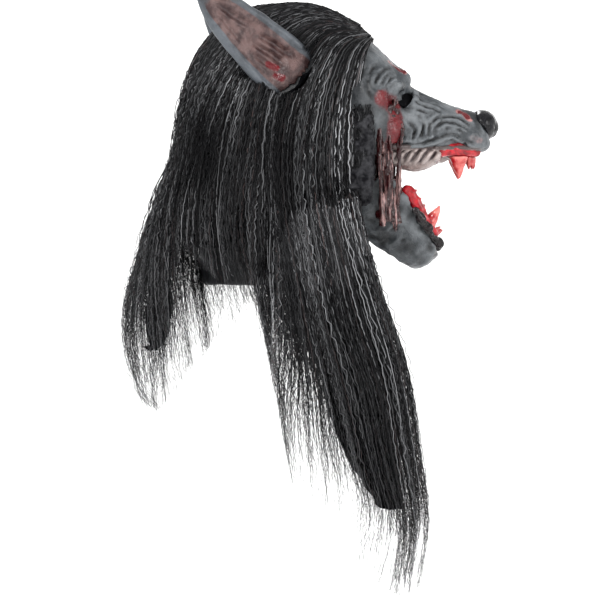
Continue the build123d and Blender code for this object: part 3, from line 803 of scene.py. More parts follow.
ACROSS = Vector((0, 1, 0))
UP = Vector((0, 0, 1))
FORWARD = Vector((1, 0, 0))
JAW_LIP_TILT = math.radians(58.2)  # slope of the jaw's lip at rest, from level
NECK_X = -9  # middle of the neck, forward of the crown seat
NECK_SIDE, NECK_REACH = 76, 82  # half width and half length of the neck
SKULL_X = 2
SKULL_SIDE, SKULL_REACH = 83, 98  # half width and half length of the skull
FAR = 400  # past every side of the mask, for cutters


@dataclass
class FaceSkin:
    """The sculpted upper face, from the forehead to the nose and back to the temples."""

    at: Anchors
    voxel: float = 1.7
    wall: float = 4.6
    back_x: float = 30.0
    mouth_back: float = 70.0
    finish: LatexFinish = SKIN

    def skull_rings(self, grow: float) -> list[Ring]:
        """Sections of the skull from the neck up, `grow` outside the skin."""
        a = self.at
        rise = a.skull_top - a.equator
        rings = [
            Ring((NECK_X, 0, a.neck_z - 4), NECK_SIDE + grow, NECK_REACH + grow, NECK_REACH + grow),
            Ring((NECK_X, 0, a.equator - 115), NECK_SIDE + grow, NECK_REACH + grow, NECK_REACH + grow),
            Ring((0, 0, a.equator - 54), 81 + grow, 91 + grow, 91 + grow),
            Ring((SKULL_X, 0, a.equator), SKULL_SIDE + grow, SKULL_REACH + grow, SKULL_REACH + grow),
        ]
        for angle in (16, 30, 42, 54, 64, 73, 81, 87):
            out, up = math.cos(math.radians(angle)), math.sin(math.radians(angle))
            height = a.equator + (rise / math.sin(math.radians(81)) + grow) * up
            reach = (SKULL_REACH + grow) * out
            rings.append(Ring((SKULL_X, 0, height), (SKULL_SIDE + grow) * out, reach, reach))
        return rings

    def brow_rings(self, grow: float) -> list[Ring]:
        """Sections of the forehead that slopes down to the brow, `grow` outside the skin."""
        rows = (  # forward of the skull, top and bottom above the lip, half width
            (-70, 139, 50, 58),
            (-50, 134, 45, 64),
            (-33, 125, 40, 64),
            (-16, 114, 36, 60),
            (-8, 106, 36, 56),
            (1, 96.5, 38, 51),
            (9, 90.5, 44, 45),
            (16, 85, 52, 37),
            (22, 77, 58, 27),
        )
        rings = []
        for x, top, bottom, half in rows:
            middle = 0.5 * (top + bottom)
            place = (self.at.skull_front + x, 0, self.at.lip_z + middle)
            rings.append(Ring(place, half + grow, top - middle + grow, middle - bottom + grow, 2.1))
        return rings

    def muzzle_rings(self) -> list[Ring]:
        """Sections of the muzzle from inside the skull to the nose."""
        length = self.at.nose_tip - self.at.skull_front
        lip = self.at.lip_z
        rows = (  # share of the length, top above the lip, bottom above the lip, half width, squareness
            (-0.36, 84, -16, 56, 2.0),
            (0.0, 76, -10, 50, 2.1),
            (0.14, 71, -8, 43, 2.2),
            (0.24, 66.5, -7, 39, 2.2),
            (0.36, 58.5, -7, 34, 2.3),
            (0.54, 50, -5, 29.5, 2.4),
            (0.70, 44.5, -3, 26.5, 2.4),
            (0.80, 42.0, -3, 25, 2.3),
            (0.865, 38.5, 0, 20.5, 2.1),
            (0.90, 31, 6, 13, 2.0),
        )
        rings = []
        for share, top, bottom, half, square in rows:
            x = self.at.skull_front + share * length
            middle = lip + 0.45 * top + 0.55 * bottom
            rings.append(Ring((x, 0, middle), half, lip + top - middle, middle - lip - bottom, square))
        return rings

    def bumps(self) -> list[bpy.types.Object]:
        """Brows, cheekbones, whisker pads and the bridge, as ellipsoids that melt into the skin."""
        front, lip = self.at.skull_front, self.at.lip_z
        rows = (  # forward of the skull, sideways, above the lip, three half sizes
            (7, 25, 73, 18, 17, 13),
            (3, 38, 64, 13, 11, 13),
            (-9, 48, 22, 24, 13, 24),
            (-22, 57, 52, 22, 14, 26),
            (84, 14, 14, 22, 14, 13.5),
            (62, 17, 20, 20, 14, 14),
            (44, 22, 24, 18, 13, 17),
            (98, 8, 8, 11, 12, 10),
        )
        made = []
        for x, y, z, rx, ry, rz in rows:
            for side in (-1, 1):
                made.append(ball("bump", mm(front + x, side * y, lip + z), mm(rx, ry, rz)))
        return made

    def cavities(self) -> list[bpy.types.Object]:
        """What is cut away: the head's hollow, the mouth, the eye holes and all behind the temples."""
        front, lip = self.at.skull_front, self.at.lip_z
        hollow = loft("hollow", self.skull_rings(-self.wall), ACROSS, FORWARD)
        brow = loft("brow_hollow", self.brow_rings(-self.wall)[:-1], ACROSS, UP)
        snout = loft(
            "snout",
            [
                Ring((front - 45, 0, lip + 34), 40, 26, 40),
                Ring((front + 8, 0, lip + 32), 36, 22, 26),
                Ring((front + 50, 0, lip + 25), 21, 13, 15),
                Ring((front + 70, 0, lip + 22), 12, 8, 8),
            ],
            ACROSS,
            UP,
        )
        mouth = loft(
            "mouth",
            [
                Ring((front - 60, 0, lip - 20), 46, 30, 60, 3.0),
                Ring((front - 6, 0, lip - 20), 44, 26, 60, 3.0),
                Ring((front + 24, 0, lip - 20), 33, 26, 60, 3.0),
                Ring((front + 60, 0, lip - 20), 22.5, 29, 60, 3.0),
                Ring((front + 84, 0, lip - 20), 20, 28, 60, 3.0),
                Ring((front + 94, 0, lip - 20), 12, 22, 60, 3.0),
            ],
            ACROSS,
            UP,
        )
        cuts = [hollow, brow, snout, mouth]
        cuts.append(slab("behind", (-FAR, -FAR, -600), (self.back_x, FAR, 300)))
        cuts.append(slab("below_lip", (self.mouth_back, -FAR, lip - 300), (300, FAR, lip - 3.5)))
        for side in Side:
            turn = Matrix.Rotation(side.value * math.radians(30), 3, "Z")
            place = mm(front + 17.5, side.value * 34, lip + 52.5)
            cuts.append(ball("eye_hole", place, mm(4.6, 17, 11.5), turn, 3))
            snarl = mm(front + 74, side.value * 29, lip - 4)
            cuts.append(ball("snarl", snarl, mm(17, 12, 14), None, 3))
        return cuts

    def build(self) -> bpy.types.Object:
        """Makes, sculpts and paints the face."""
        forms = [
            loft("skull", self.skull_rings(0), ACROSS, FORWARD),
            loft("brow", self.brow_rings(0), ACROSS, UP),
            loft("muzzle", self.muzzle_rings(), ACROSS, UP),
        ]
        solid = joined("face_skin", forms + self.bumps())
        remeshed(solid, 3.0)
        relax(solid, 7)
        cut(solid, self.cavities())
        remeshed(solid, self.voxel)
        relax(solid, 2)
        sculpt = Sculpt(solid, mm(20, 0, self.at.equator - 10))
        self.carve(sculpt)
        sculpt.write(LatexFinish.MASKS)
        solid.data.materials.append(self.finish.build())
        return solid

    def carve(self, s: Sculpt) -> None:
        """Folds, brow lines, wounds, their colours and painted shade, placed in side view on the right half.
        """
        front, lip = self.at.skull_front, self.at.lip_z

        def side(*rows: tuple[float, float]) -> Line:
            """A line on the face's side, from points forward of the skull and above the lip."""
            return [s.on_side(front + x, lip + z) for x, z in rows]

        for n, (radius, first, last) in enumerate(
            ((11, 75, 226), (16.5, 110, 226), (23, 95, 200), (32, 120, 226))
        ):
            arc = [math.radians(a) for a in range(first, last, 25)]
            rows = [(9 + radius * math.cos(a), 64 + 0.92 * radius * math.sin(a)) for a in arc]
            s.fold(side(*rows), 1.7 + 0.3 * n, 1.9 - 0.3 * n, 0.8)
        long_folds = (
            ((22, 64), (32, 60.5), (49, 54), (66, 46)),
            ((20, 57), (32, 54), (49, 48), (64, 41)),
            ((20, 50), (30, 48), (45, 43), (56, 38)),
            ((22, 43), (32, 41), (42, 37)),
        )
        for rows in long_folds:
            s.fold(side(*rows), 1.6, 1.9, 0.7)
        s.refresh()
        snarls = (
            ((41, 12), (43, 26), (51, 33), (66, 35), (78, 31), (87, 24)),
            ((49, 10), (49, 22), (57, 29), (70, 27), (83, 20)),
            ((57, 11), (62, 22), (74, 20.5), (83, 12)),
            ((22, 29), (28, 20), (24, 7)),
            ((30, 38), (36.5, 25), (34, 11)),
            ((14, 32), (18, 18), (13, 4)),
            ((90, 30), (95, 24), (97, 14)),
            ((84, 36), (90, 33), (94, 28)),
        )
        for rows in snarls:
            s.fold(side(*rows), 1.7, 2.1, 0.8)
        s.refresh()
        s.fold(side((2, 3), (16, 5), (36, 6), (52, 12), (66, 17), (80, 10), (94, 5)), 1.8, 2.0, 0.9)
        s.swell(side((98, 4), (84, 4), (66, 11), (50, 5), (30, 1), (12, 0)), 3.2, 2.2)
        s.swell(side((12, 66), (15, 60), (13, 52)), 3.4, 2.4)
        s.swell(side((30, 62), (29, 50), (26, 42)), 3.0, 2.0)
        for n in range(3):
            s.fold(
                [
                    (front - 2 - 9 * n, 0, lip + 97 + 6 * n),
                    (front - 6 - 9 * n, 18, lip + 94 + 6 * n),
                    (front - 14 - 8 * n, 38, lip + 84 + 6 * n),
                ],
                1.8,
                1.3,
            )
        s.lumps(7.0, 0.9)
        s.lumps(2.6, 0.28)
        # Painted shade round the eye holes and at the temples under the hair's edge; darker still behind the
        # mouth's corner and beside the nose.
        s.paint("crease", side((17, 60), (17, 45)), 7.0, 1.0)
        s.paint("crease", side((2, 42), (2, 4)), 13.0, 0.85)
        s.paint("crease", side((82, 41), (92, 38), (97, 30)), 7.0, 0.9)
        s.paint("crease", side((-30, 88), (-26, 62), (-22, 40)), 15.0, 0.6)
        s.paint("wet", side((12, 66), (15, 60), (13, 50)), 5.0, 1.0)
        s.paint("flesh", side((3, 92), (9, 87), (17, 81)), 5.0, 0.7, both=False)
        s.paint("blood", side((5, 91), (15, 82)), 5.0, 1.0, both=False)
        # Painted shade in the hole of the wound.
        s.paint("crease", side((12, 85), (14, 82)), 2.2, 1.0, both=False)
        s.fold(side((12, 86), (15, 82), (17, 78)), 1.5, 2.6, both=False)
        s.paint("flesh", side((75, 41), (85, 34)), 5.0, 0.9, both=False)
        s.paint("blood", side((76, 40), (83, 35)), 3.8, 1.0, both=False)
        s.fold(side((75, 40), (78, 38), (82, 35)), 1.5, 2.2, both=False)
        s.paint("blood", side((-6, 50), (4, 46), (9, 34), (8, 20), (6, 6)), 13.0, 0.62)
        s.paint("blood", side((-8, 54), (0, 50), (10, 46)), 5.0, 0.9)
        s.paint("flesh", side((0, 40), (8, 30)), 6.0, 0.45)
        s.paint("flesh", side((88, 12), (96, 10)), 6.0, 0.42)
        s.paint("wet", side((78, 16), (92, 12), (98, 8)), 10.0, 0.8)


@dataclass
class JawSkin:
    """The sculpted lower jaw: a tapering trough with thick lips."""

    at: Anchors
    voxel: float = 2.0
    slope: float = 49.0
    length: float = 156.0
    finish: LatexFinish = SKIN

    def build(self) -> bpy.types.Object:
        """Makes, sculpts and paints the jaw."""
        low, high = box_mm("jaw_skin")
        pivot = joint_place("jaw_flex") / MM
        angle = math.radians(self.slope)
        axis = Vector((math.cos(angle), 0, -math.sin(angle)))
        upward = Vector((math.sin(angle), 0, math.cos(angle)))
        length = self.length
        rows = (  # share of the length, middle above the axis, up, depth, half width
            (0.34, 26, 40, 88, 56),
            (0.46, 20, 34, 70, 49),
            (0.61, 15, 30, 53, 39),
            (0.74, 11, 26, 42, 32),
            (0.85, 9, 22, 36, 28),
            (0.94, 6, 16, 28, 25),
            (0.995, 3, 8, 17, 17),
        )
        outer = []
        inner = []
        for share, rise, up, depth, half in rows:
            centre = pivot + axis * (share * length) + upward * rise
            outer.append(Ring(tuple(centre), half, up, depth, 2.15))
            centre = pivot + axis * (share * length - 9) + upward * rise
            inner.append(Ring(tuple(centre), half - 5.5, up + 30, depth - 6, 2.15))
        solid = joined("jaw_shell", [loft("jaw", outer, ACROSS, upward)])
        remeshed(solid, 3.0)
        relax(solid, 3)
        trough = loft("trough", inner, ACROSS, upward)
        tilt = JAW_LIP_TILT
        lip_up = Vector((math.sin(tilt), 0, math.cos(tilt)))
        start = pivot + axis * (0.46 * length) + upward * 27 - lip_up * 4.5
        bm = bmesh.new()
        bmesh.ops.create_cube(bm, size=1.0)
        bmesh.ops.scale(bm, vec=mm(300, 200, 200), verts=bm.verts)
        bmesh.ops.translate(bm, vec=mm(0, 0, 100), verts=bm.verts)
        bmesh.ops.rotate(bm, cent=(0, 0, 0), matrix=Matrix.Rotation(tilt, 3, "Y"), verts=bm.verts)
        bmesh.ops.translate(bm, vec=start * MM, verts=bm.verts)
        above = object_from(bm, "above_lip")
        bm = bmesh.new()
        bmesh.ops.create_cube(bm, size=1.0)
        bmesh.ops.scale(bm, vec=mm(200, 300, 400), verts=bm.verts)
        bmesh.ops.translate(bm, vec=mm(low.x - 6 - 100, 0, -200), verts=bm.verts)
        behind = object_from(bm, "behind_jaw")
        cut(solid, [trough, above, behind])
        remeshed(solid, self.voxel)
        relax(solid, 3)
        sculpt = Sculpt(solid, None)
        for n in range(4):
            centre = pivot + axis * (length * (0.58 + 0.09 * n)) + upward * (-4 - 5 * n)
            line = [
                tuple(centre + upward * k + axis * (0.3 * k) + Vector((0, 36 - 4 * n, 0)))
                for k in (-16, -4, 8)
            ]
            sculpt.fold(line, 1.7, 1.3)
        edge = [
            tuple(
                start + Vector((math.cos(tilt), 0, -math.sin(tilt))) * (12 * k) + Vector((0, 45 - 4.2 * k, 0))
            )
            for k in range(7)
        ]
        sculpt.swell(edge, 4.0, 1.4)
        sculpt.lumps(11.0, 2.2)
        sculpt.lumps(4.0, 0.7)
        # Painted shade in the hollows sunk by the first lumps, whose noise matches waver.
        hollows = np.clip(-2.2 * sculpt.waver - 0.1, 0, 0.9)
        sculpt.mark("crease", hollows)
        for share, drop in ((0.62, 26), (0.78, 12), (0.90, 14), (0.97, 2)):
            spot = pivot + axis * (length * share) - upward * drop
            sculpt.paint("crease", [(spot.x, 40, spot.z), (spot.x + 6, 26, spot.z - 5)], 9.0, 0.75)
        stain = pivot + axis * (length * 0.80) - upward * 20
        sculpt.paint("blood", [(stain.x, 34, stain.z)], 7.0, 0.6)
        sculpt.mark("wet", np.clip((high.x - 6 - sculpt.points[:, 0]) / -20 + 0.6, 0, 1))
        sculpt.paint("blood", [(x, y - 3, z + 2) for x, y, z in edge[:5]], 5.0, 0.5)
        sculpt.write(LatexFinish.MASKS)
        solid.data.materials.append(self.finish.build())
        return solid


# ---------------------------------------------------------------- pieces worked from the frame's solids
def worked_copy(name: str, nodes: tuple[str, ...], voxel: float, smooth: int = 2) -> bpy.types.Object:
    """Copies solids of the frame, merges them and gives the copy even faces to sculpt on.

    Args:
        name: The new piece's name.
        nodes: The frame's nodes that it stands for.
        voxel: Size of a face in millimetres.
        smooth: How many times it is smoothed.

    Returns:
        The new piece.
    """
    bm = bmesh.new()
    for node in nodes:
        bm.from_mesh(frame["nodes"][node].data)
    bmesh.ops.remove_doubles(bm, verts=bm.verts, dist=1e-6)
    obj = object_from(bm, name)
    obj.data.materials.clear()
    remeshed(obj, voxel)
    if smooth:
        relax(obj, smooth)
    return obj


def hand_over(
    obj: bpy.types.Object, nodes: tuple[str, ...], body: str | None = None
) -> bpy.types.Object:
    """Hides the frame's nodes that a finished piece stands for, parents it to its body if it is stiff, and
    logs its faces.
    """
    if body is not None:
        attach(obj, body)
    if nodes:
        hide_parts(*nodes)
    log.info("%s %d faces", obj.name, len(obj.data.polygons))
    return obj


@dataclass
class Mouth:
    """Palate, gums, teeth, tongue and the wet lips of the jaw."""

    at: Anchors

    def build(self) -> None:
        """Makes every piece of the mouth."""
        self.palate()
        self.gums()
        self.teeth()
        self.tongue()
        self.jaw_lips()

    def palate(self) -> None:
        """The roof of the mouth, with slanting ridges."""
        low, high = box_mm("palate")
        parts = [worked_copy("palate_ridged", ("palate",), 2.0, 0)]
        for side in (-1, 1):
            for n in range(9):
                t = n / 8
                spot = mm(
                    low.x + 12 + 41 * t,
                    side * (19.5 - 1.5 * t),
                    self.at.lip_z - 5 - 2 * math.sin(math.pi * t),
                )
                parts.append(
                    ball("bulge", spot, mm(8, 9.5 - 1.5 * t, 9.5 + 4.5 * math.sin(math.pi * t)), None, 3)
                )
        obj = remeshed(joined("palate_ridged", parts), 1.5)
        relax(obj, 3)
        s = Sculpt(obj)
        for n in range(7):
            x = low.x + 12 + 9.5 * n
            reach = 30 - 2.0 * n
            for side in (-1, 1):
                line = [
                    (x + 5, side * 1.5, high.z - 6),
                    (x, side * 0.5 * reach, high.z - 8),
                    (x - 7, side * reach, high.z - 6),
                ]
                s.fold(line, 1.5, 1.8, 0.9, both=False)
                wall = [(x + 6 - 5.5 * k, side * 28, self.at.lip_z + 1 - 8 * k) for k in range(3)]
                s.fold(wall, 1.6, 2.0, 0.9, both=False)
        s.lumps(9.0, 0.8)
        # Painted shade up in the roof of the mouth, above the lip's level.
        s.mark("crease", np.clip((s.points[:, 2] - self.at.lip_z + 1) / 2, 0, 1))
        s.paint("blood", [(low.x + 60, 20, low.z + 4), (high.x - 20, 12, low.z)], 9.0, 0.8)
        s.write(LatexFinish.MASKS)
        obj.data.materials.append(PALATE_SKIN.build())
        hand_over(obj, ("palate",), "head")

    def gums(self) -> None:
        """Swollen wet gums, heaped up round each tooth."""
        material = GUM.build()
        for row, body, rise in (("upper", "head", 1.3), ("lower", "jaw", 1.7)):
            obj = worked_copy(f"{row}_gum_flesh", (f"{row}_gum",), 2.0, 0)
            obj = remeshed(joined(obj.name, [obj, *self.heaps(row)]), 1.3)
            relax(obj, 3)
            s = Sculpt(obj)
            for kind in ("fangs", "incisors", "molars"):
                for root in tooth_roots(f"{row}_{kind}"):
                    s.swell([tuple(root)], 4.2, rise, both=False)
            s.lumps(6.0, 1.1)
            s.write(())
            obj.data.materials.append(material)
            hand_over(obj, (f"{row}_gum",), body)

    def heaps(self, row: str) -> list[bpy.types.Object]:
        """Lumps of gum that fill the snarl above the upper teeth and rise over the jaw's lip."""
        low, high = box_mm(f"{row}_gum")
        made = []
        for side in (-1, 1):
            for n in range(13):
                t = n / 12
                half = high.y - 3 - 13 * t**3
                if row == "upper":
                    spot = mm(high.x - 38 + 35 * t, side * half, self.at.lip_z + 2.5 * math.sin(math.pi * t))
                    size = mm(5.5, 4.0, 6.5 + 2.5 * math.sin(math.pi * t))
                else:
                    x = low.x + 3 + (high.x - low.x - 9) * t
                    z = high.z - 2 + (low.z - high.z + 7) * t
                    spot, size = mm(x, side * (half + 1), z + 1.5), mm(6.5, 4.4, 5.5)
                made.append(ball("heap", spot, size, None, 3))
        return made

    def teeth(self) -> None:
        """Uneven teeth, bloody at the root."""
        material = TOOTH.build()
        for row, body in (("upper", "head"), ("lower", "jaw")):
            for kind, voxel in (("fangs", 0.8), ("incisors", 0.8), ("molars", 0.8)):
                node = f"{row}_{kind}"
                obj = worked_copy(f"{node}_cast", (node,), voxel, 1)
                s = Sculpt(obj)
                s.lumps(7.0, 0.7)
                s.lumps(2.5, 0.25)
                roots = tooth_roots(node)
                if kind == "fangs":
                    self.broaden(s, roots, row)
                reach = np.min([np.linalg.norm(s.points - np.array(root), axis=1) for root in roots], axis=0)
                s.mark("root", np.clip(1.1 - reach / 11.0, 0, 1))
                s.write(("root",))
                obj.data.materials.append(material)
                hand_over(obj, (node,), body)

    @staticmethod
    def broaden(s: Sculpt, roots: list[Vector], row: str) -> None:
        """Spreads each fang's root, so that it tapers from a broad foot to its tip."""
        tilt = 0.0 if row == "upper" else JAW_LIP_TILT
        up = np.array((math.sin(tilt), 0, math.cos(tilt))) * (-1 if row == "upper" else 1)
        near = np.argmin([np.linalg.norm(s.points - np.array(root), axis=1) for root in roots], axis=0)
        foot = np.array([tuple(root) for root in roots])[near]
        away = s.points - foot
        height = away @ up
        aside = away - height[:, None] * up
        s.points = foot + height[:, None] * up + aside * (1 + 0.75 * np.exp(-height / 10.0))[:, None]

    def tongue(self) -> None:
        """The tongue, with a groove along its middle."""
        obj = worked_copy("tongue_flesh", ("tongue",), 1.6)
        s = Sculpt(obj)
        low, high = box_mm("tongue")
        s.fold(
            [
                (low.x + 4, 0, high.z),
                (0.5 * (low.x + high.x) + 6, 0, 0.5 * (low.z + high.z) + 6),
                (high.x, 0, low.z + 8),
            ],
            3.0,
            2.4,
            both=False,
        )
        s.lumps(5.0, 0.8)
        s.write(())
        obj.data.materials.append(TONGUE.build())
        hand_over(obj, ("tongue",), "jaw")

    def jaw_lips(self) -> None:
        """Ragged wet black lip along each edge of the jaw, heaped in lobes."""
        low, high = box_mm("lower_gum")
        rng = np.random.default_rng(5)
        material = LIP.build()
        for side in Side:
            parts = []
            for n in range(4, 15):
                t = n / 14
                x = low.x + 2 + (high.x - low.x - 3) * t
                z = high.z - 4 + (low.z - high.z + 6) * t
                half = 45 - 24 * t**1.6
                place = mm(x, side.value * half, z - 5) + mm(*(rng.normal(0, 0.8, 3)))
                size = mm(*(np.array([5.6, 2.9, 4.6]) * rng.uniform(0.75, 1.25)))
                parts.append(
                    ball(
                        "lobe", place, size, Matrix.Rotation(math.radians(50 + rng.normal(0, 14)), 3, "Y"), 3
                    )
                )
            obj = joined(f"jaw_lip_{side.label}", parts)
            remeshed(obj, 1.2)
            relax(obj, 3)
            s = Sculpt(obj)
            s.lumps(5.0, 1.1)
            s.write(())
            obj.data.materials.append(material)
            hand_over(obj, (), "jaw")


def tooth_roots(node: str) -> list[Vector]:
    """The middle of each tooth's foot in a row of separate teeth, in millimetres."""
    bm = bmesh.new()
    bm.from_mesh(frame["nodes"][node].data)
    bmesh.ops.remove_doubles(bm, verts=bm.verts, dist=1e-6)
    lowest = node.startswith("upper")
    tilt = 0.0 if lowest else JAW_LIP_TILT
    up = Vector((math.sin(tilt), 0, math.cos(tilt)))
    if lowest:
        up = -up
    roots = []
    free = set(bm.verts)
    while free:
        seed = free.pop()
        group, edge = [seed], [seed]
        while edge:
            vert = edge.pop()
            for link in vert.link_edges:
                other = link.other_vert(vert)
                if other in free:
                    free.remove(other)
                    group.append(other)
                    edge.append(other)
        foot = min(v.co.dot(up) for v in group)
        base = [v.co for v in group if v.co.dot(up) < foot + 0.0005]
        roots.append(sum(base, Vector()) / len(base) / MM)
    bm.free()
    return roots


@dataclass
class Nose:
    """The wet nose pad with its nostrils."""

    at: Anchors

    def build(self) -> None:
        """Makes the nose."""
        obj = worked_copy("nose_leather", ("nose_pad",), 1.0, 3)
        low, high = box_mm("nose_pad")
        s = Sculpt(obj)
        middle = 0.5 * (low.z + high.z)
        s.points += s.normals * 2.6
        s.swell([(high.x - 4, 9.5, middle - 2), (high.x - 10, 14, middle - 1)], 3.2, -3.2)
        s.refresh()
        s.swell([(high.x - 5, 13, middle + 5), (high.x - 12, 17, middle + 3)], 3.5, 1.6)
        s.fold(
            [(high.x - 1, 0, middle + 5), (high.x, 0, middle - 3), (high.x - 5, 0, low.z)],
            1.4,
            1.6,
            both=False,
        )
        s.lumps(3.0, 0.35)
        s.write(())
        obj.data.materials.append(NOSE.build())
        hand_over(obj, ("nose_pad",), "head")


@dataclass
class Ear:
    """One ear: a cup with a thick rim, ribs and two dark slots, soft where it joins the head."""

    side: Side
    sweep: Triple = (-0.712, -0.334, 0.617)
    width_axis: Triple = (0.607, 0.148, 0.781)
    half_width: float = 31.0

    def build(self) -> None:
        """Makes, sculpts and paints the ear."""
        label = self.side.label
        nodes = (f"ear_{label}", f"ear_root_{label}")
        obj = worked_copy(f"ear_{label}_cast", nodes, 1.5, 4)
        s = Sculpt(obj)
        flip = np.array([1.0, 1.0 if self.side is Side.RIGHT else -1.0, 1.0])
        s.points *= flip
        s.normals *= flip
        self.carve(s)
        s.points *= flip
        s.write(LatexFinish.MASKS)
        obj.data.materials.append(shared(EAR_SKIN))
        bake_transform(obj)
        hand_over(obj, nodes)

    def carve(self, s: Sculpt) -> None:
        """Rim, ribs, slots and the flesh colour inside, on the right-hand ear."""
        axis, width = Vector(self.sweep).normalized(), Vector(self.width_axis).normalized()
        opening = width.cross(axis)
        root = joint_place("ear_right_flex") / MM
        away = s.points - np.array(root)
        along = away @ np.array(axis)
        length = along.max()
        share = np.clip(along / length, 0, 1)
        half = np.interp(share, [0, 0.25, 0.5, 0.75, 0.9, 1], [31, 29.5, 25.4, 18, 9.3, 2.2])
        middle = np.array(root) + (share * length)[:, None] * np.array(axis)
        offset = (s.points - middle) @ np.array(width)
        across = offset / half
        facing = s.normals @ np.array(opening)
        inside = np.clip((facing - 0.15) * 3, 0, 1) * np.clip((0.80 - np.abs(across)) * 6, 0, 1)
        inside *= np.clip((0.93 - share) * 8, 0, 1)
        s.mark("flesh", inside * 0.95)

        def line(rows: list[tuple[float, float]]) -> Line:
            """Points on the open side from shares along and across."""
            found = []
            for a, b in rows:
                pick = (np.abs(share - a) < 0.06) & (facing > 0.1) & (np.abs(across - b) < 0.3)
                if not pick.any():
                    pick = np.abs(share - a) < 0.1
                near = np.hypot(share - a, 0.35 * (across - b)) + np.where(pick, 0, 9)
                found.append(tuple(s.points[int(np.argmin(near))]))
            return found

        ribs = (
            ([(0.10, 0.42), (0.22, 0.36), (0.40, 0.18)], 3.0, 5.0),
            ([(0.08, 0.06), (0.20, 0.05), (0.38, -0.08)], 3.0, 5.0),
            ([(0.05, -0.30), (0.18, -0.30), (0.30, -0.36)], 2.0, 2.2),
            ([(0.45, 0.32), (0.62, 0.20), (0.80, 0.10)], 2.6, 2.6),
            ([(0.42, -0.38), (0.60, -0.34), (0.76, -0.26)], 2.0, 1.6),
        )
        for rows, wide, deep in ribs:
            path = line(rows)
            d, t = s.distance(path)
            fade = np.clip(np.sin(np.pi * np.clip(t, 0.04, 0.96)) * 2.2, 0, 1)
            groove = np.exp(-((d / wide) ** 2)) * fade
            ridge = np.exp(-(((d - 2.0 * wide) / (0.9 * wide)) ** 2)) * fade
            keep = np.clip(facing * 4, 0, 1)
            s.points += s.normals * ((0.42 * deep * ridge - 0.55 * deep * groove) * keep)[:, None]
            # Dark wash and painted shade in each rib's groove.
            s.mark("crease", groove * keep * (1.0 if deep > 4 else 0.75))
        for rows in ([(0.10, -0.20), (0.16, -0.26)], [(0.02, -0.36), (0.06, -0.40)]):
            d, _ = s.distance(line(rows))
            s.mark("blood", np.exp(-((d / 4.5) ** 2)) * np.clip(facing * 4, 0, 1) * 0.9)
        rim = np.exp(-(((np.abs(across) - 0.95) / 0.14) ** 2)) * np.clip((0.97 - share) * 10, 0, 1)
        s.points += s.normals * (rim * 1.3)[:, None]
        s.lumps(14.0, 0.9)


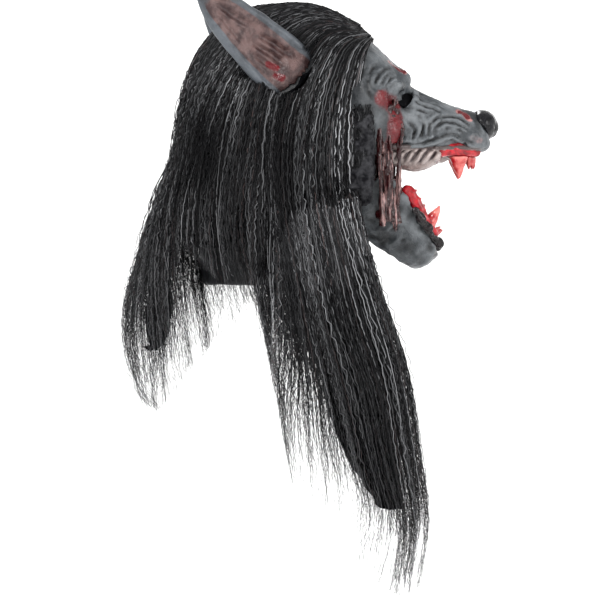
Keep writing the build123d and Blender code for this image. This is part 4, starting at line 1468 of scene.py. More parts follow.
@dataclass
class TornCheek:
    """The torn flesh between face and jaw on one side, with the fur in front of the hair."""

    at: Anchors
    side: Side
    seed: int = 3

    def build(self) -> None:
        """Makes the sinews, the fur patch and the ribbed chunk."""
        self.sinews()
        self.fur()

    def sinews(self) -> None:
        """Uneven strings of flesh that merge and part, soft between the head and the jaw."""
        label = self.side.label
        rng = np.random.default_rng(self.seed)
        front, lip = self.at.skull_front, self.at.lip_z
        parts = []
        for n in range(20):
            t = (n + rng.uniform(-0.4, 0.4)) / 19
            top = Vector(
                (
                    front - 13 + 27 * t,
                    59.0 - 11 * t + rng.normal(0, 1.2),
                    lip + 56 - 26 * t + rng.normal(0, 6),
                )
            )
            foot = Vector(
                (front - 10 + 21 * t, 57.5 - 13 * t + rng.normal(0, 1.2), lip - 72 - 8 * t + rng.normal(0, 7))
            )
            sway = Vector((rng.normal(0, 4.2), 1.0 + rng.normal(0, 1.5), 0))
            rings = []
            thick = rng.uniform(0.9, 2.7)
            for k in range(9):
                s = k / 8
                spot = (
                    top.lerp(foot, s) + sway * math.sin(math.pi * s)
                    + Vector((1.4 * math.sin(7 * s + n), 0.8 * math.cos(5 * s + n), 0))
                )
                size = thick * (1.35 - 0.95 * math.sin(math.pi * s) ** 0.7) * rng.uniform(0.8, 1.2) + 0.35
                rings.append(Ring((spot.x, self.side.value * spot.y, spot.z), size, size * 1.2, size * 1.2))
            parts.append(loft("string", rings, ACROSS, FORWARD, 10))
        for n in range(16):
            t = rng.uniform(0, 1)
            level = lip + (rng.uniform(18, 52) if n < 10 else rng.uniform(-70, -40))
            spot = Vector((front - 12 + 25 * t, self.side.value * (55.0 - 12 * t), level))
            parts.append(ball("gob", spot * MM, mm(*(rng.uniform(2.0, 4.6, 3) * (1.0, 0.7, 1.6))), None, 3))
        obj = joined(f"torn_cheek_{label}", parts)
        remeshed(obj, 1.15)
        relax(obj, 2)
        s = Sculpt(obj)
        s.lumps(4.0, 0.7)
        s.write(())
        obj.data.materials.append(shared(SINEW))
        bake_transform(obj)
        hand_over(obj, (f"cheek_sinew_{label}",))

    def fur(self) -> None:
        """A dark wavy tuft below the temple and a ribbed matted chunk under it."""
        label = self.side.label
        low, high = box_mm(f"cheek_fur_{label}")
        y = self.side.value
        rings = []
        rows = (
            (0, 4, 3),
            (8, 10, 5),
            (24, 12.5, 6.5),
            (40, 12, 6.5),
            (58, 12.5, 7.0),
            (76, 10.5, 6.5),
            (90, 6, 5),
            (97, 2, 2),
        )
        for drop, wide, thick in rows:
            t = drop / 97
            rings.append(
                Ring((low.x + 9.5 + 3.5 * t, y * (64.5 - 1.5 * t), high.z + 2 - drop), thick, wide, wide)
            )
        obj = joined(f"cheek_fur_core_{label}", [loft("chunk", rings, ACROSS, FORWARD, 28)])
        remeshed(obj, 1.2)
        s = Sculpt(obj)
        for n in range(15):
            z = high.z - 6 - 6.0 * n
            s.fold(
                [
                    (low.x - 6, 72, z + 3),
                    (low.x + 4, 72, z + 1.2),
                    (low.x + 13, 72, z - 1.2),
                    (low.x + 24, 72, z - 0.4),
                ],
                4.4,
                2.6,
                0.9,
            )
        s.lumps(3.5, 1.2)
        s.write(())
        obj.data.materials.append(shared(MATTED))
        hand_over(obj, (f"cheek_fur_{label}",), "head")
        self.tufts(low.x, high.z)

    def tufts(self, back: float, top: float) -> None:
        """Short wavy strands over the chunk, the densest towards its top."""
        rng = np.random.default_rng(self.seed + 40)
        made = []
        for _ in range(260):
            run = np.linspace(0, rng.uniform(22, 48), 14)
            x0, drop = rng.uniform(-10, 20), 62 * rng.random() ** 1.4 - 6
            wave = np.sin(run / rng.uniform(2.2, 3.6) + rng.uniform(0, 6))
            x = back + x0 + 0.10 * run + 1.5 * wave
            y = (
                60.0 + 12.0 * np.sqrt(np.clip(1 - ((x - back - 8) / 21) ** 2, 0.05, 1)) - 0.03 * drop
                + 0.6 * wave
            )
            place = np.stack([x, self.side.value * y, top - drop - run], -1)
            radii = 0.6 * rng.uniform(0.6, 1.3) * np.clip(1.05 - np.linspace(0, 1, 14) ** 2, 0.2, 1)
            tone = np.full(14, 0.015 + 0.22 * rng.random() ** 4)
            made.append(Strand(place * MM, radii * MM, tone, 0.0))
        hand_over(fibres(f"cheek_tufts_{self.side.label}", made), (), "head")


@dataclass
class Linings:
    """Eye meshes, foam pads, the neck and scalp skin and the throat's web."""

    at: Anchors

    def build(self) -> None:
        """Makes the inner pieces and the plain skins."""
        self.scalp()
        self.eyes()
        self.pads()
        self.throat()

    def scalp(self) -> None:
        """The skull and neck skin behind the sculpted face."""
        obj = worked_copy("scalp_skin", ("head_skin",), 3.0, 2)
        cut(obj, [slab("face_part", (31, -200, self.at.lip_z), (231, 200, self.at.lip_z + 250))])
        s = Sculpt(obj, mm(0, 0, self.at.equator - 40))
        for n in range(4):
            z = self.at.neck_z + 14 + 16 * n
            s.fold([(60, 40, z + 4), (40, 62, z), (0, 78, z - 3), (-40, 70, z + 2)], 2.6, 1.2)
        s.lumps(22.0, 1.0)
        # Nearly black behind the face's edge: the neck's dark latex and painted shade under the hair.
        s.mark("crease", np.clip((58 - s.points[:, 0]) / 20, 0, 1) * s.outer)
        s.write(LatexFinish.MASKS)
        obj.data.materials.append(shared(SKIN))
        hand_over(obj, ("head_skin",), "head")

    def eyes(self) -> None:
        """Dark see-through mesh behind the lids."""
        for side in Side:
            node = f"eye_mesh_{side.label}"
            for slot in frame["nodes"][node].material_slots:
                slot.material = shared(EYE)

    def pads(self) -> None:
        """Cut foam pads with soft edges that swell a little between their glued borders."""
        material = FOAM.build()
        for node, body, fill in (
            ("crown_pad", "head", 0.7),
            ("brow_pad", "head", 0.6),
            ("nape_pad", "head", 0.6),
            ("chin_cup", "jaw", 0.5),
        ):
            obj = worked_copy(f"{node}_foam", (node,), 2.0, 6)
            s = Sculpt(obj)
            s.lumps(16.0, 0.7)
            s.write(())
            obj.data.materials.append(material)
            hand_over(obj, (node,), body)

    def throat(self) -> None:
        """The thin web between the neck and the jaw, wrinkled across."""
        obj = worked_copy("throat_folds", ("throat_web",), 1.2, 1)
        low, high = box_mm("throat_web")
        s = Sculpt(obj)
        for n in range(3):
            x = low.x + (high.x - low.x) * (n + 1) / 4
            z = high.z + (low.z - high.z) * (1 - (n + 1) / 4)
            s.fold([(x, -32, z), (x, 0, z - 1), (x, 32, z)], 1.6, 0.6, 0.8, both=False)
        s.write(LatexFinish.MASKS)
        obj.data.materials.append(shared(SKIN))
        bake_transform(obj)
        hand_over(obj, ("throat_web",))


# ---------------------------------------------------------------- hair
# Outer guide lines of the right half, forward and up from the crown seat, each from the forehead's
# hairline to its tip. The first lines end in the lock before the shoulder, the last in the mane.
GUIDES = (
    (
        (86, -15), (77, -34), (71, -62), (66, -84), (64, -108), (64, -140), (67, -184),
        (76, -229), (90, -278), (116, -357), (130, -436), (140, -509), (128, -595),
    ),
    (
        (84, -13), (68, -31), (58, -60), (51, -95), (48, -142), (51, -194), (61, -242),
        (74, -289), (98, -368), (113, -446), (124, -520), (117, -591),
    ),
    (
        (82, -12), (57, -27), (41, -60), (30, -100), (25, -142), (29, -194), (40, -247),
        (50, -299), (74, -373), (90, -452), (105, -525), (96, -581),
    ),
    (
        (80, -11), (46, -20), (23, -55), (9, -100), (4, -142), (6, -194), (15, -247),
        (25, -299), (45, -378), (61, -446), (74, -509), (63, -554),
    ),
    (
        (78, -9), (36, -13), (6, -48), (-13, -92), (-19, -142), (-17, -194), (-9, -247),
        (-5, -299), (-1, -352), (-5, -404), (-4, -446), (4, -490),
    ),
    (
        (76, -7), (28, -5), (-10, -38), (-31, -80), (-42, -131), (-49, -173), (-50, -205),
        (-47, -236), (-39, -262), (-32, -284), (-27, -292), (-25, -300),
    ),
    (
        (74, -5), (22, 5), (-24, -20), (-56, -66), (-74, -110), (-83, -163), (-86, -205),
        (-84, -242), (-80, -273), (-76, -294), (-75, -308), (-74, -320),
    ),
    (
        (72, -3), (19, 13), (-33, -6), (-72, -48), (-96, -95), (-108, -147), (-117, -200),
        (-120, -247), (-117, -289), (-112, -326), (-109, -346), (-107, -362),
    ),
    (
        (70, -1), (18, 19), (-34, 11), (-80, -28), (-111, -84), (-126, -147), (-139, -205),
        (-147, -257), (-148, -304), (-145, -346), (-143, -378), (-141, -404),
    ),
    (
        (68, 1), (34, 17), (-4, 22), (-45, 18), (-93, -18), (-117, -79), (-130, -142),
        (-149, -203), (-166, -249), (-177, -294), (-178, -331), (-172, -364), (-164, -396),
    ),
)
BACK_LINE = 8.2  # guide lines past this one lie on the back of the head


@dataclass
class HairFlow:
    """Where strands run: guide lines in side view, laid on the outside of the hair's masses."""

    at: Anchors
    cell: float = 3.0
    samples: int = 160
    low: Triple = (-205.0, -125.0, -605.0)
    high: Triple = (160.0, 0.0, 32.0)
    side_limit: float = 118.0

    def __post_init__(self) -> None:
        """Resamples the guides at even steps and measures the masses on three grids."""
        lines = []
        for guide in GUIDES:
            pts = np.array(guide, dtype=float)
            steps = np.concatenate([[0], np.cumsum(np.linalg.norm(np.diff(pts, axis=0), axis=1))])
            fine = np.linspace(0, 1, self.samples)
            lines.append(np.stack([self.eased(fine, steps / steps[-1], pts[:, k]) for k in range(2)], axis=1))
        self.lines = np.array(lines)
        self.lengths = np.linalg.norm(np.diff(self.lines, axis=1), axis=2).sum(axis=1)
        whole = self.mass(("crown_hair", "back_hair", "side_hair_right", "mane", "lock_right"), True)
        lock = self.mass(("lock_right",), False)
        self.outer = self.depth_grid(whole, (0, -1, 0), 0)
        self.inner = self.depth_grid(lock, (0, 1, 0), 0)
        self.back = self.depth_grid(whole, (-1, 0, 0), 1)
        discard(whole[1], lock[1])
        self.ear = box_mm("ear_root_right")

    def mass(self, nodes: tuple[str, ...], filled: bool) -> tuple[BVHTree, bpy.types.Object]:
        """One smooth mass over some of the frame's hair, with the gaps above swinging hair filled."""
        bm = bmesh.new()
        for node in nodes:
            bm.from_mesh(frame["nodes"][node].data)
        bmesh.ops.remove_doubles(bm, verts=bm.verts, dist=1e-6)
        parts = [object_from(bm, "mass")]
        parts[0].data.materials.clear()
        if filled:
            for joint, radius in (("lock_right_swing", 46), ("mane_swing", 34)):
                place = joint_place(joint)
                parts.append(
                    ball("filler", place, mm(radius, radius * (1 if place.y else 2), radius), None, 3)
                )
            parts.append(loft("forehead", FaceSkin(self.at).brow_rings(5.0), ACROSS, UP))
        obj = remeshed(joined("mass", parts), 5.0)
        relax(obj, 6)
        bm = bmesh.new()
        bm.from_mesh(obj.data)
        tree = BVHTree.FromBMesh(bm)
        bm.free()
        return tree, obj

    def depth_grid(
        self, mass: tuple[BVHTree, bpy.types.Object], side: tuple[int, int, int], axis: int
    ) -> np.ndarray:
        """Where rays from one side first meet a mass.

        Args:
            mass: The tree of the mass and its object.
            side: Direction from the mass to where the rays start.
            axis: The grid's first axis, 0 for X or 1 for Y; its second is Z.

        Returns:
            The coordinate met, on a grid, with misses filled from their neighbours.
        """
        first = np.arange(self.low[axis], self.high[axis] + self.cell, self.cell)
        levels = np.arange(self.low[2], self.high[2] + self.cell, self.cell)
        grid = np.full((len(first), len(levels)), np.nan)
        ray = -Vector(side)
        hit_axis = 1 - axis
        far = 0.4 if side[1] <= 0 else 0.0
        for i, a in enumerate(first):
            for k, z in enumerate(levels):
                origin = mm(a, 0, z) if axis == 0 else mm(0, a, z)
                place, *_ = mass[0].ray_cast(origin + Vector(side) * far, ray)
                if place is not None:
                    grid[i, k] = place[hit_axis] / MM
        for _ in range(60):
            holes = np.isnan(grid)
            if not holes.any():
                break
            padded = np.pad(grid, 1, constant_values=np.nan)
            around = np.stack([padded[:-2, 1:-1], padded[2:, 1:-1], padded[1:-1, :-2], padded[1:-1, 2:]])
            known = ~np.isnan(around)
            total = np.where(known, around, 0).sum(axis=0)
            grid = np.where(holes & known.any(axis=0), total / np.maximum(known.sum(axis=0), 1), grid)
        return np.nan_to_num(grid, nan=-60.0)

    def read(self, grid: np.ndarray, axis: int, first: np.ndarray, z: np.ndarray) -> np.ndarray:
        """Reads a depth grid between its cells."""
        i = np.clip((first - self.low[axis]) / self.cell, 0, grid.shape[0] - 1.001)
        k = np.clip((z - self.low[2]) / self.cell, 0, grid.shape[1] - 1.001)
        i0, k0 = i.astype(int), k.astype(int)
        fi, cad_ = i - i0, k - k0
        near = grid[i0, k0] * (1 - fi) * (1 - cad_) + grid[i0 + 1, k0] * fi * (1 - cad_)
        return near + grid[i0, k0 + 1] * (1 - fi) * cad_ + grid[i0 + 1, k0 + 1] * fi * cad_

    @staticmethod
    def eased(where: np.ndarray, knots: np.ndarray, values: np.ndarray) -> np.ndarray:
        """Smooth interpolation through knots, with a Catmull-Rom slope at each."""
        slope = np.gradient(values, knots)
        n = np.clip(np.searchsorted(knots, where, side="right") - 1, 0, len(knots) - 2)
        h = knots[n + 1] - knots[n]
        t = (where - knots[n]) / h
        a, b, sa, sb = values[n], values[n + 1], slope[n] * h, slope[n + 1] * h
        rise = (2 * t**3 - 3 * t**2 + 1) * a + (3 * t**2 - 2 * t**3) * b
        return rise + (t**3 - 2 * t**2 + t) * sa + (t**3 - t**2) * sb

    def outline(self, u: np.ndarray, v: np.ndarray) -> tuple[np.ndarray, np.ndarray]:
        """A point of the side view, from the guide line's number and the share of the way along it."""
        last = len(GUIDES) - 1
        u = np.clip(u, 0, last)
        n = np.clip(u.astype(int), 0, last - 1)
        t = (u - n)[..., None]
        s = np.clip(v, 0, 1) * (self.samples - 1)
        k = np.clip(s.astype(int), 0, self.samples - 2)
        f = (s - k)[..., None]
        a = self.lines[n, k] * (1 - f) + self.lines[n, k + 1] * f
        b = self.lines[n + 1, k] * (1 - f) + self.lines[n + 1, k + 1] * f
        xz = a * (1 - t) + b * t
        return xz[..., 0], xz[..., 1]

    def length(self, u: float) -> float:
        """Length of a guide line in millimetres."""
        return float(np.interp(u, range(len(GUIDES)), self.lengths))

    def place(self, u: np.ndarray, v: np.ndarray, w: np.ndarray) -> np.ndarray:
        """Points of strands on the right half, in millimetres.

        Args:
            u: Guide line of each point.
            v: Share of the way to the tip.
            w: Depth, from 0 on the outside to 1 on the inside.

        Returns:
            Points as rows of x, y and z.
        """
        x, z = self.outline(u, v)
        e = self.at.equator
        thick = np.interp(z, [e - 260, e - 150, e - 90, e + 20, e + 90], [26, 30, 18, 12, 5])
        y = self.read(self.outer, 0, x, z) - 2.0 + w * thick
        share = np.clip((e - 110 - z) / 70, 0, 1) * (u < LOCK_LINES)
        share = share * share * (3 - 2 * share)
        outer = self.read(self.outer, 0, x, z) - 2.0
        inner = self.read(self.inner, 0, x, z) + 2.0
        y = y * (1 - share) + (outer + (inner - outer) * w) * share
        behind = np.clip((u - BACK_LINE) / (9 - BACK_LINE), 0, 1)
        low_on_head = np.clip((20 - x) / 50, 0, 1)
        y_back = y * (1 - behind)
        x_back = self.read(self.back, 1, y_back, z) - 2.0 + w * thick
        past = (behind > 0) * low_on_head * np.clip((e + 100 - z) / 40, 0, 1)
        x = x * (1 - past) + np.maximum(x, x_back) * past
        return np.stack([x, y_back, z], -1)


LOCK_LINES = 4.45  # guide lines before this hang in front of the shoulder
CURTAIN_LINES = 6.6  # guide lines from there to this one end beside the neck


class HairRegion(Enum):
    """The masses of strands, with their first and last guide line and the name of the swinging body where
    they hang.
    """

    LOCK = (0.0, LOCK_LINES, "lock")
    CURTAIN = (LOCK_LINES, CURTAIN_LINES, None)
    MANE = (CURTAIN_LINES, 9.0, "mane")


@dataclass
class Strand:
    """One fibre: its points and radii in metres, and how pale and how brown it is at each point."""

    points: np.ndarray
    radii: np.ndarray
    tone: np.ndarray
    warm: float


@dataclass
class HairCoat:
    """All loose strands of one region and side, as tapered three-sided fibres."""

    flow: HairFlow
    region: HairRegion
    side: Side
    count: int
    seed: int
    step: float = 4.9
    crimp: float = 1.5
    crimp_length: float = 12.0
    radius: float = 0.58

    def strands(self) -> list[Strand]:
        """Draws every strand, gathered into clumps towards the tips."""
        rng = np.random.default_rng(self.seed)
        first, last, _ = self.region.value
        clumps = max(8, self.count // 8)
        clump_u = np.sort(rng.uniform(first, last, clumps))
        clump_w = rng.beta(1.1, 2.2, clumps)
        clump_end = rng.uniform(0.84, 1.03, clumps)
        clump_tone = rng.normal(0, 1, clumps)
        made = []
        for _ in range(self.count):
            u0 = rng.uniform(first, last)
            near = int(np.argmin(np.abs(clump_u - u0 + rng.normal(0, 0.06, clumps))))
            w0 = rng.beta(1.0, 2.2)
            v0 = rng.uniform(0.0, 0.06) if rng.random() < 0.5 else rng.uniform(0.0, 0.45)
            end = clump_end[near] * (1.0 if rng.random() < 0.5 else rng.uniform(0.70, 1.0))
            end = max(end, v0 + 0.25)
            length = self.flow.length(u0) * (end - v0)
            points = max(8, int(length / (self.step * (1 + 0.9 * w0))))
            v = np.linspace(v0, end, points)
            gather = 0.8 * np.clip((v - 0.22) / 0.78, 0, 1) ** 1.3
            u = u0 * (1 - gather) + clump_u[near] * gather
            u = u + 0.09 * np.sin(v * rng.uniform(3, 9) + rng.uniform(0, 6)) * np.clip(v * 3, 0, 1)
            u = np.clip(u, first, last)
            w = np.clip(w0 * (1 - 0.5 * gather) + clump_w[near] * 0.5 * gather, 0, 1)
            place = self.flow.place(u, v, w)
            run = v * self.flow.length(u0)
            stray = rng.normal(0, 1, 3)
            stray /= np.linalg.norm(stray)
            loose = 1.8 if rng.random() < 0.86 else 6.0
            freed = (
                np.clip((v - v0) * 6, 0, 1) * np.clip((self.flow.at.equator + 75 - place[:, 2]) / 60, 0.12, 1)
            )
            sway = loose * freed * np.sin(run / rng.uniform(35, 80) + rng.uniform(0, 6))
            place = place + stray * sway[:, None]
            place[:, 2] -= np.clip(v - 1.0, 0, 1) * 90
            place += self.crimped(rng, run) * (0.35 + 0.65 * freed)[:, None]
            over = np.minimum(place[:, 1] + self.flow.side_limit, 0)
            place[:, 1] -= 0.9 * over
            # A strand's own paleness at random, made darker the deeper it lies (w0) as painted shade inside
            # the hair.
            pale = (
                0.012 + 0.50 * rng.random() ** 3.4 * max(0.15, 1 + 0.6 * clump_tone[near])
            ) * (1 - 0.6 * w0)
            thick = self.radius * rng.uniform(0.7, 1.35)
            warm = float(rng.random() < 0.10) * rng.uniform(0.5, 1)
            for part in self.beside_ear(place):
                if len(part) < 6:
                    continue
                fade = np.linspace(0, 1, len(part))
                radii = thick * np.clip(1.05 - fade**2.2, 0.22, 1)
                # The painted light and shade over the head from shade() goes into the tone here.
                tone = np.clip(self.shade(part) * pale, 0, 1)
                part[:, 1] *= -self.side.value
                made.append(Strand(part * MM, radii * MM, tone, warm))
        return made

    def crimped(self, rng: np.random.Generator, run: np.ndarray) -> np.ndarray:
        """The kinks of crimped fibre along a strand, as offsets in millimetres."""
        turn = 2 * np.pi * run / (rng.uniform(0.8, 1.35) * self.crimp_length) + rng.uniform(0, 6)
        size = self.crimp * rng.uniform(0.5, 1.4) * 0.6
        first, second = rng.normal(0, 1, 3), rng.normal(0, 1, 3)
        return size * (np.sin(turn)[:, None] * first + np.sin(0.63 * turn + 1)[:, None] * second)

    @staticmethod
    def shade(place: np.ndarray) -> np.ndarray:
        """Painted light and shade over the head, multiplied into the dye's paleness: painted shadow nearly
        black behind the ear and darker below it, painted light at the temple, darker on the crown.
        """
        x, z = place[:, 0], place[:, 2]
        behind_ear = np.exp(-(((x + 88) / 40) ** 2) - ((z + 142) / 72) ** 2)
        below_ear = np.exp(-(((x + 12) / 30) ** 2) - ((z + 150) / 75) ** 2)
        temple = np.exp(-(((x - 42) / 22) ** 2) - ((z + 150) / 70) ** 2)
        crown = np.clip((z + 55) / 40, 0, 1)
        return (1 - 0.985 * behind_ear) * (1 - 0.78 * below_ear) * (1 + 0.9 * temple) * (1 - 0.6 * crown)

    def beside_ear(self, place: np.ndarray) -> list[np.ndarray]:
        """The parts of a strand in front of and behind the ear's root."""
        low, high = self.flow.ear
        across = ((place[:, 0] - (low.x + high.x) / 2) / ((high.x - low.x) / 2 - 2)) ** 2
        above = ((place[:, 2] - (low.z + high.z) / 2) / ((high.z - low.z) / 2 - 2)) ** 2
        hits = np.nonzero((across + above < 1) & (place[:, 1] < -50))[0]
        if not len(hits):
            return [place]
        return [place[: hits[0]], place[hits[-1] + 1 :]]

    def build(self, name: str, limit: int = 190000) -> list[bpy.types.Object]:
        """Turns the strands into meshes of at most `limit` triangles."""
        pieces = []
        batch: list[Strand] = []
        load = 0
        for strand in self.strands():
            cost = 6 * len(strand.points)
            if load + cost > limit:
                pieces.append(fibres(f"{name}_{len(pieces) + 1}", batch))
                batch, load = [], 0
            batch.append(strand)
            load += cost
        pieces.append(fibres(f"{name}_{len(pieces) + 1}", batch))
        return pieces


def fibres(name: str, batch: list[Strand]) -> bpy.types.Object:
    """One mesh of tapered fibres, made from curves with a three-sided section.

    Args:
        name: The piece's name.
        batch: Its strands.

    Returns:
        The mesh, with the attributes tone and warm and a map of one column for each strand.
    """
    section = bpy.data.curves.new("section", "CURVE")
    rim = section.splines.new("POLY")
    rim.points.add(2)
    for n, point in enumerate(rim.points):
        angle = 2 * math.pi * n / 3
        point.co = (math.cos(angle), math.sin(angle), 0, 1)
    rim.use_cyclic_u = True
    section_object = bpy.data.objects.new("section", section)
    bpy.context.scene.collection.objects.link(section_object)
    curve = bpy.data.curves.new(name, "CURVE")
    curve.dimensions = "3D"
    curve.bevel_mode = "OBJECT"
    curve.bevel_object = section_object
    curve.use_fill_caps = True
    for strand in batch:
        spline = curve.splines.new("POLY")
        spline.points.add(len(strand.points) - 1)
        places = np.ones((len(strand.points), 4))
        places[:, :3] = strand.points
        spline.points.foreach_set("co", places.ravel())
        spline.points.foreach_set("radius", strand.radii)
        spline.use_smooth = True
    carrier = bpy.data.objects.new(name, curve)
    bpy.context.scene.collection.objects.link(carrier)
    graph = bpy.context.evaluated_depsgraph_get()
    mesh = bpy.data.meshes.new_from_object(carrier.evaluated_get(graph))
    mesh.name = name
    discard(carrier, section_object)
    dress_fibres(mesh, batch)
    obj = bpy.data.objects.new(name, mesh)
    bpy.context.scene.collection.objects.link(obj)
    return obj


def capped(values: list[np.ndarray]) -> np.ndarray:
    """Values ring by ring in the mesh's order: the end caps, last strand first, then every tube."""
    caps = [np.array([row[-1], row[0]]) for row in reversed(values)]
    return np.concatenate(caps + values)


def dress_fibres(mesh: bpy.types.Mesh, batch: list[Strand]) -> None:
    """Writes tone, warmth and the strand map to a mesh of fibres, and joins its caps to its tubes."""
    tones = [strand.tone for strand in batch]
    columns = [np.full(len(tone), n) for n, tone in enumerate(tones)]
    runs = [np.linspace(0.002, 0.998, len(tone)) for tone in tones]
    warmth = [np.full(len(tone), strand.warm) for tone, strand in zip(tones, batch)]
    rows = [capped(values) for values in (tones, warmth, columns, runs)]
    if len(mesh.vertices) != 3 * len(rows[0]):
        raise ValueError(f"{mesh.name} has {len(mesh.vertices)} points, not three to a ring")
    tone, warm, column, along = (np.repeat(row, 3) for row in rows)
    for label, values in (("tone", tone), ("warm", warm)):
        layer = mesh.attributes.new(label, "FLOAT", "POINT")
        layer.data.foreach_set("value", values.astype(np.float32))
    across = (column + np.tile([0.12, 0.5, 0.88], len(rows[0]))) / len(batch)
    loops = np.empty(len(mesh.loops), dtype=np.int64)
    mesh.loops.foreach_get("vertex_index", loops)
    layer = mesh.uv_layers.new(name="OFBake")
    layer.data.foreach_set("uv", np.stack([across[loops], along[loops]], -1).astype(np.float32).ravel())
    bm = bmesh.new()
    bm.from_mesh(mesh)
    bmesh.ops.remove_doubles(bm, verts=bm.verts, dist=1e-7)
    bm.to_mesh(mesh)
    bm.free()
    mesh.materials.clear()
    mesh.materials.append(shared(FIBRE))


@dataclass
class Hair:
    """The wig: dark cores with loose strands over them."""

    at: Anchors
    lock_count: int = 780
    curtain_count: int = 560
    mane_count: int = 580

    def build(self) -> None:
        """Makes the cores and the strands of both sides, and parents the cores and the curtain strands to the
        bodies they move with.
        """
        flow = HairFlow(self.at)
        log.info("hair flow measured")
        self.cores()
        seed = 11
        counts = {
            HairRegion.LOCK: self.lock_count,
            HairRegion.CURTAIN: self.curtain_count,
            HairRegion.MANE: self.mane_count,
        }
        for side in Side:
            for region, count in counts.items():
                seed += 7
                body = region.value[2]
                if body == "lock":
                    body = f"lock_{side.label}"
                for piece in HairCoat(flow, region, side, count, seed).build(
                    f"{region.name.lower()}_hair_{side.label}"
                ):
                    if body is None:
                        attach(piece, "head")
                    else:
                        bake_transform(piece)
                    log.info("%s %d faces", piece.name, len(piece.data.polygons))

    def cores(self) -> None:
        """Dark masses under the strands, made from the frame's hair and shrunk."""
        rows = (
            (
                "hair_core_head",
                ("crown_hair", "back_hair", "side_hair_right", "side_hair_left", "hair_backing"),
                "head",
                6.0,
                0.62,
            ),
            ("hair_core_mane", ("mane",), "mane", 13.0, 0.92),
            ("hair_core_lock_right", ("lock_right",), "lock_right", 8.0, 0.86),
            ("hair_core_lock_left", ("lock_left",), "lock_left", 8.0, 0.86),
        )
        hang = self.at.equator - 128
        for name, nodes, body, shrink, drawn_up in rows:
            core = worked_copy(name, nodes, 4.0, 2)
            if body != "head":
                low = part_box(nodes[0])[0][2] / MM
                cut(core, [slab("tip", (-FAR, -FAR, low - 60), (FAR, FAR, low + 40))])
            sculpt = Sculpt(core)
            edge = (
                1 + 1.3 * np.abs(sculpt.normals[:, 0]) * np.clip((hang + 60 - sculpt.points[:, 2]) / 60, 0, 1)
            )
            sculpt.points -= sculpt.normals * (shrink * edge)[:, None]
            below = np.minimum(sculpt.points[:, 2] - hang, 0)
            sculpt.points[:, 2] -= below * (1 - drawn_up)
            if body == "head":
                wedge = (sculpt.points[:, 0] < -125) & (sculpt.points[:, 2] < hang + 55)
                sculpt.points[wedge, 0] = -125 + 0.25 * (sculpt.points[wedge, 0] + 125)
            else:
                self.slim(sculpt, hang)
            sculpt.lumps(16.0, 3.0)
            sculpt.write(())
            relax(core, 2)
            core.data.materials.append(shared(CORE))
            hand_over(core, nodes, body)

    @staticmethod
    def slim(sculpt: Sculpt, hang: float) -> None:
        """Narrows a hanging core towards its tip, about the middle of each level."""
        level = sculpt.points[:, 2]
        depth = np.clip((hang - level) / 260, 0, 1)
        for z in np.arange(level.min(), level.max(), 8.0):
            here = (level >= z) & (level < z + 8.0)
            if here.any():
                x = sculpt.points[here, 0]
                middle = 0.5 * (x.min() + x.max()) + 0.16 * (x.max() - x.min()) * depth[here]
                sculpt.points[here, 0] = middle + (x - middle) * (1 - 0.55 * depth[here])


FLOOR_GLOW = 0.36  # light of the floor itself, so that it meets the sky with no edge
SKY_STRENGTH = 0.72


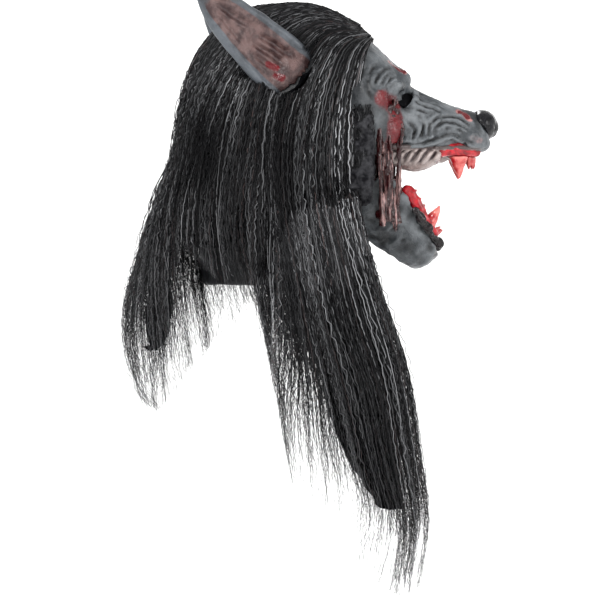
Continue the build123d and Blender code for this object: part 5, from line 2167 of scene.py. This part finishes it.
def studio(at: Anchors) -> None:
    """A pale floor, soft lights and the camera."""
    low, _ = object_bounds()
    profile = ((0.0, 0.0), (3.4, 0.0), (4.2, 0.12), (4.7, 0.5), (4.95, 1.2), (5.0, 3.2))
    bm = bmesh.new()
    verts = [bm.verts.new((x, 0, low[2] - 0.03 + z)) for x, z in profile]
    for first, second in zip(verts, verts[1:]):
        bm.edges.new((first, second))
    bmesh.ops.spin(
        bm,
        geom=bm.verts[:] + bm.edges[:],
        cent=(0, 0, 0),
        axis=(0, 0, 1),
        angle=2 * math.pi,
        steps=64,
        use_merge=True,
    )
    bmesh.ops.remove_doubles(bm, verts=bm.verts, dist=1e-5)
    bmesh.ops.recalc_face_normals(bm, faces=bm.faces)
    bmesh.ops.reverse_faces(bm, faces=bm.faces)
    floor = object_from(bm, "studio_floor")
    material, nodes, shader, coords = new_material("pale_floor")
    nodes.link(
        nodes.mix(nodes.noise(coords, 6.0), (0.86, 0.86, 0.86), (0.9, 0.9, 0.9)), shader.inputs["Base Color"]
    )
    shader.inputs["Roughness"].default_value = 0.8
    shader.inputs["Emission Color"].default_value = (1, 1, 1, 1)
    shader.inputs["Emission Strength"].default_value = FLOOR_GLOW
    floor.data.materials.append(material)
    floor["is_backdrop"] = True
    world = bpy.data.worlds.new("studio")
    world.use_nodes = True
    world.node_tree.nodes["Background"].inputs["Color"].default_value = (1, 1, 1, 1)
    world.node_tree.nodes["Background"].inputs["Strength"].default_value = SKY_STRENGTH
    bpy.context.scene.world = world
    target = Vector((0.02, 0, -0.25))
    rows = (  # name, place, power, size
        ("key", (-0.9, -1.6, 1.1), 42.0, 0.9),
        ("fill", (1.6, -1.5, 0.2), 22.0, 1.1),
        ("rim", (-0.4, 1.4, 1.4), 30.0, 0.9),
    )
    for name, place, power, size in rows:
        light = bpy.data.lights.new(name, "AREA")
        light.energy = power
        light.size = size
        lamp = bpy.data.objects.new(name, light)
        lamp.location = place
        lamp.rotation_euler = (target - Vector(place)).to_track_quat("-Z", "Y").to_euler()
        bpy.context.scene.collection.objects.link(lamp)
    view_width = 0.63
    distance = 2.6
    centre = Vector((0.0084, 0, -0.28875))
    camera = bpy.data.cameras.new("camera")
    camera.sensor_width = 36.0
    camera.lens = camera.sensor_width * distance / view_width
    body = bpy.data.objects.new("camera", camera)
    body.location = centre + Vector((0, -distance, 0))
    body.rotation_euler = (math.radians(90), 0, 0)
    bpy.context.scene.collection.objects.link(body)
    bpy.context.scene.camera = body
    bpy.context.scene.view_settings.view_transform = "Standard"


def main() -> None:
    """Builds the mask's pieces in order."""
    logging.basicConfig(level=logging.INFO, format="%(message)s")
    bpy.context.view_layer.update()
    at = Anchors.read()
    face = FaceSkin(at).build()
    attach(face, "head")
    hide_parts("muzzle_skin")
    log.info("face_skin %d faces", len(face.data.polygons))
    jaw = JawSkin(at).build()
    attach(jaw, "jaw")
    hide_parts("jaw_skin")
    log.info("jaw_skin %d faces", len(jaw.data.polygons))
    Nose(at).build()
    Mouth(at).build()
    for side in Side:
        Ear(side).build()
        TornCheek(at, side, 3 + side.value).build()
    Linings(at).build()
    Hair(at).build()
    studio(at)


if __name__ == "__main__":
    main()
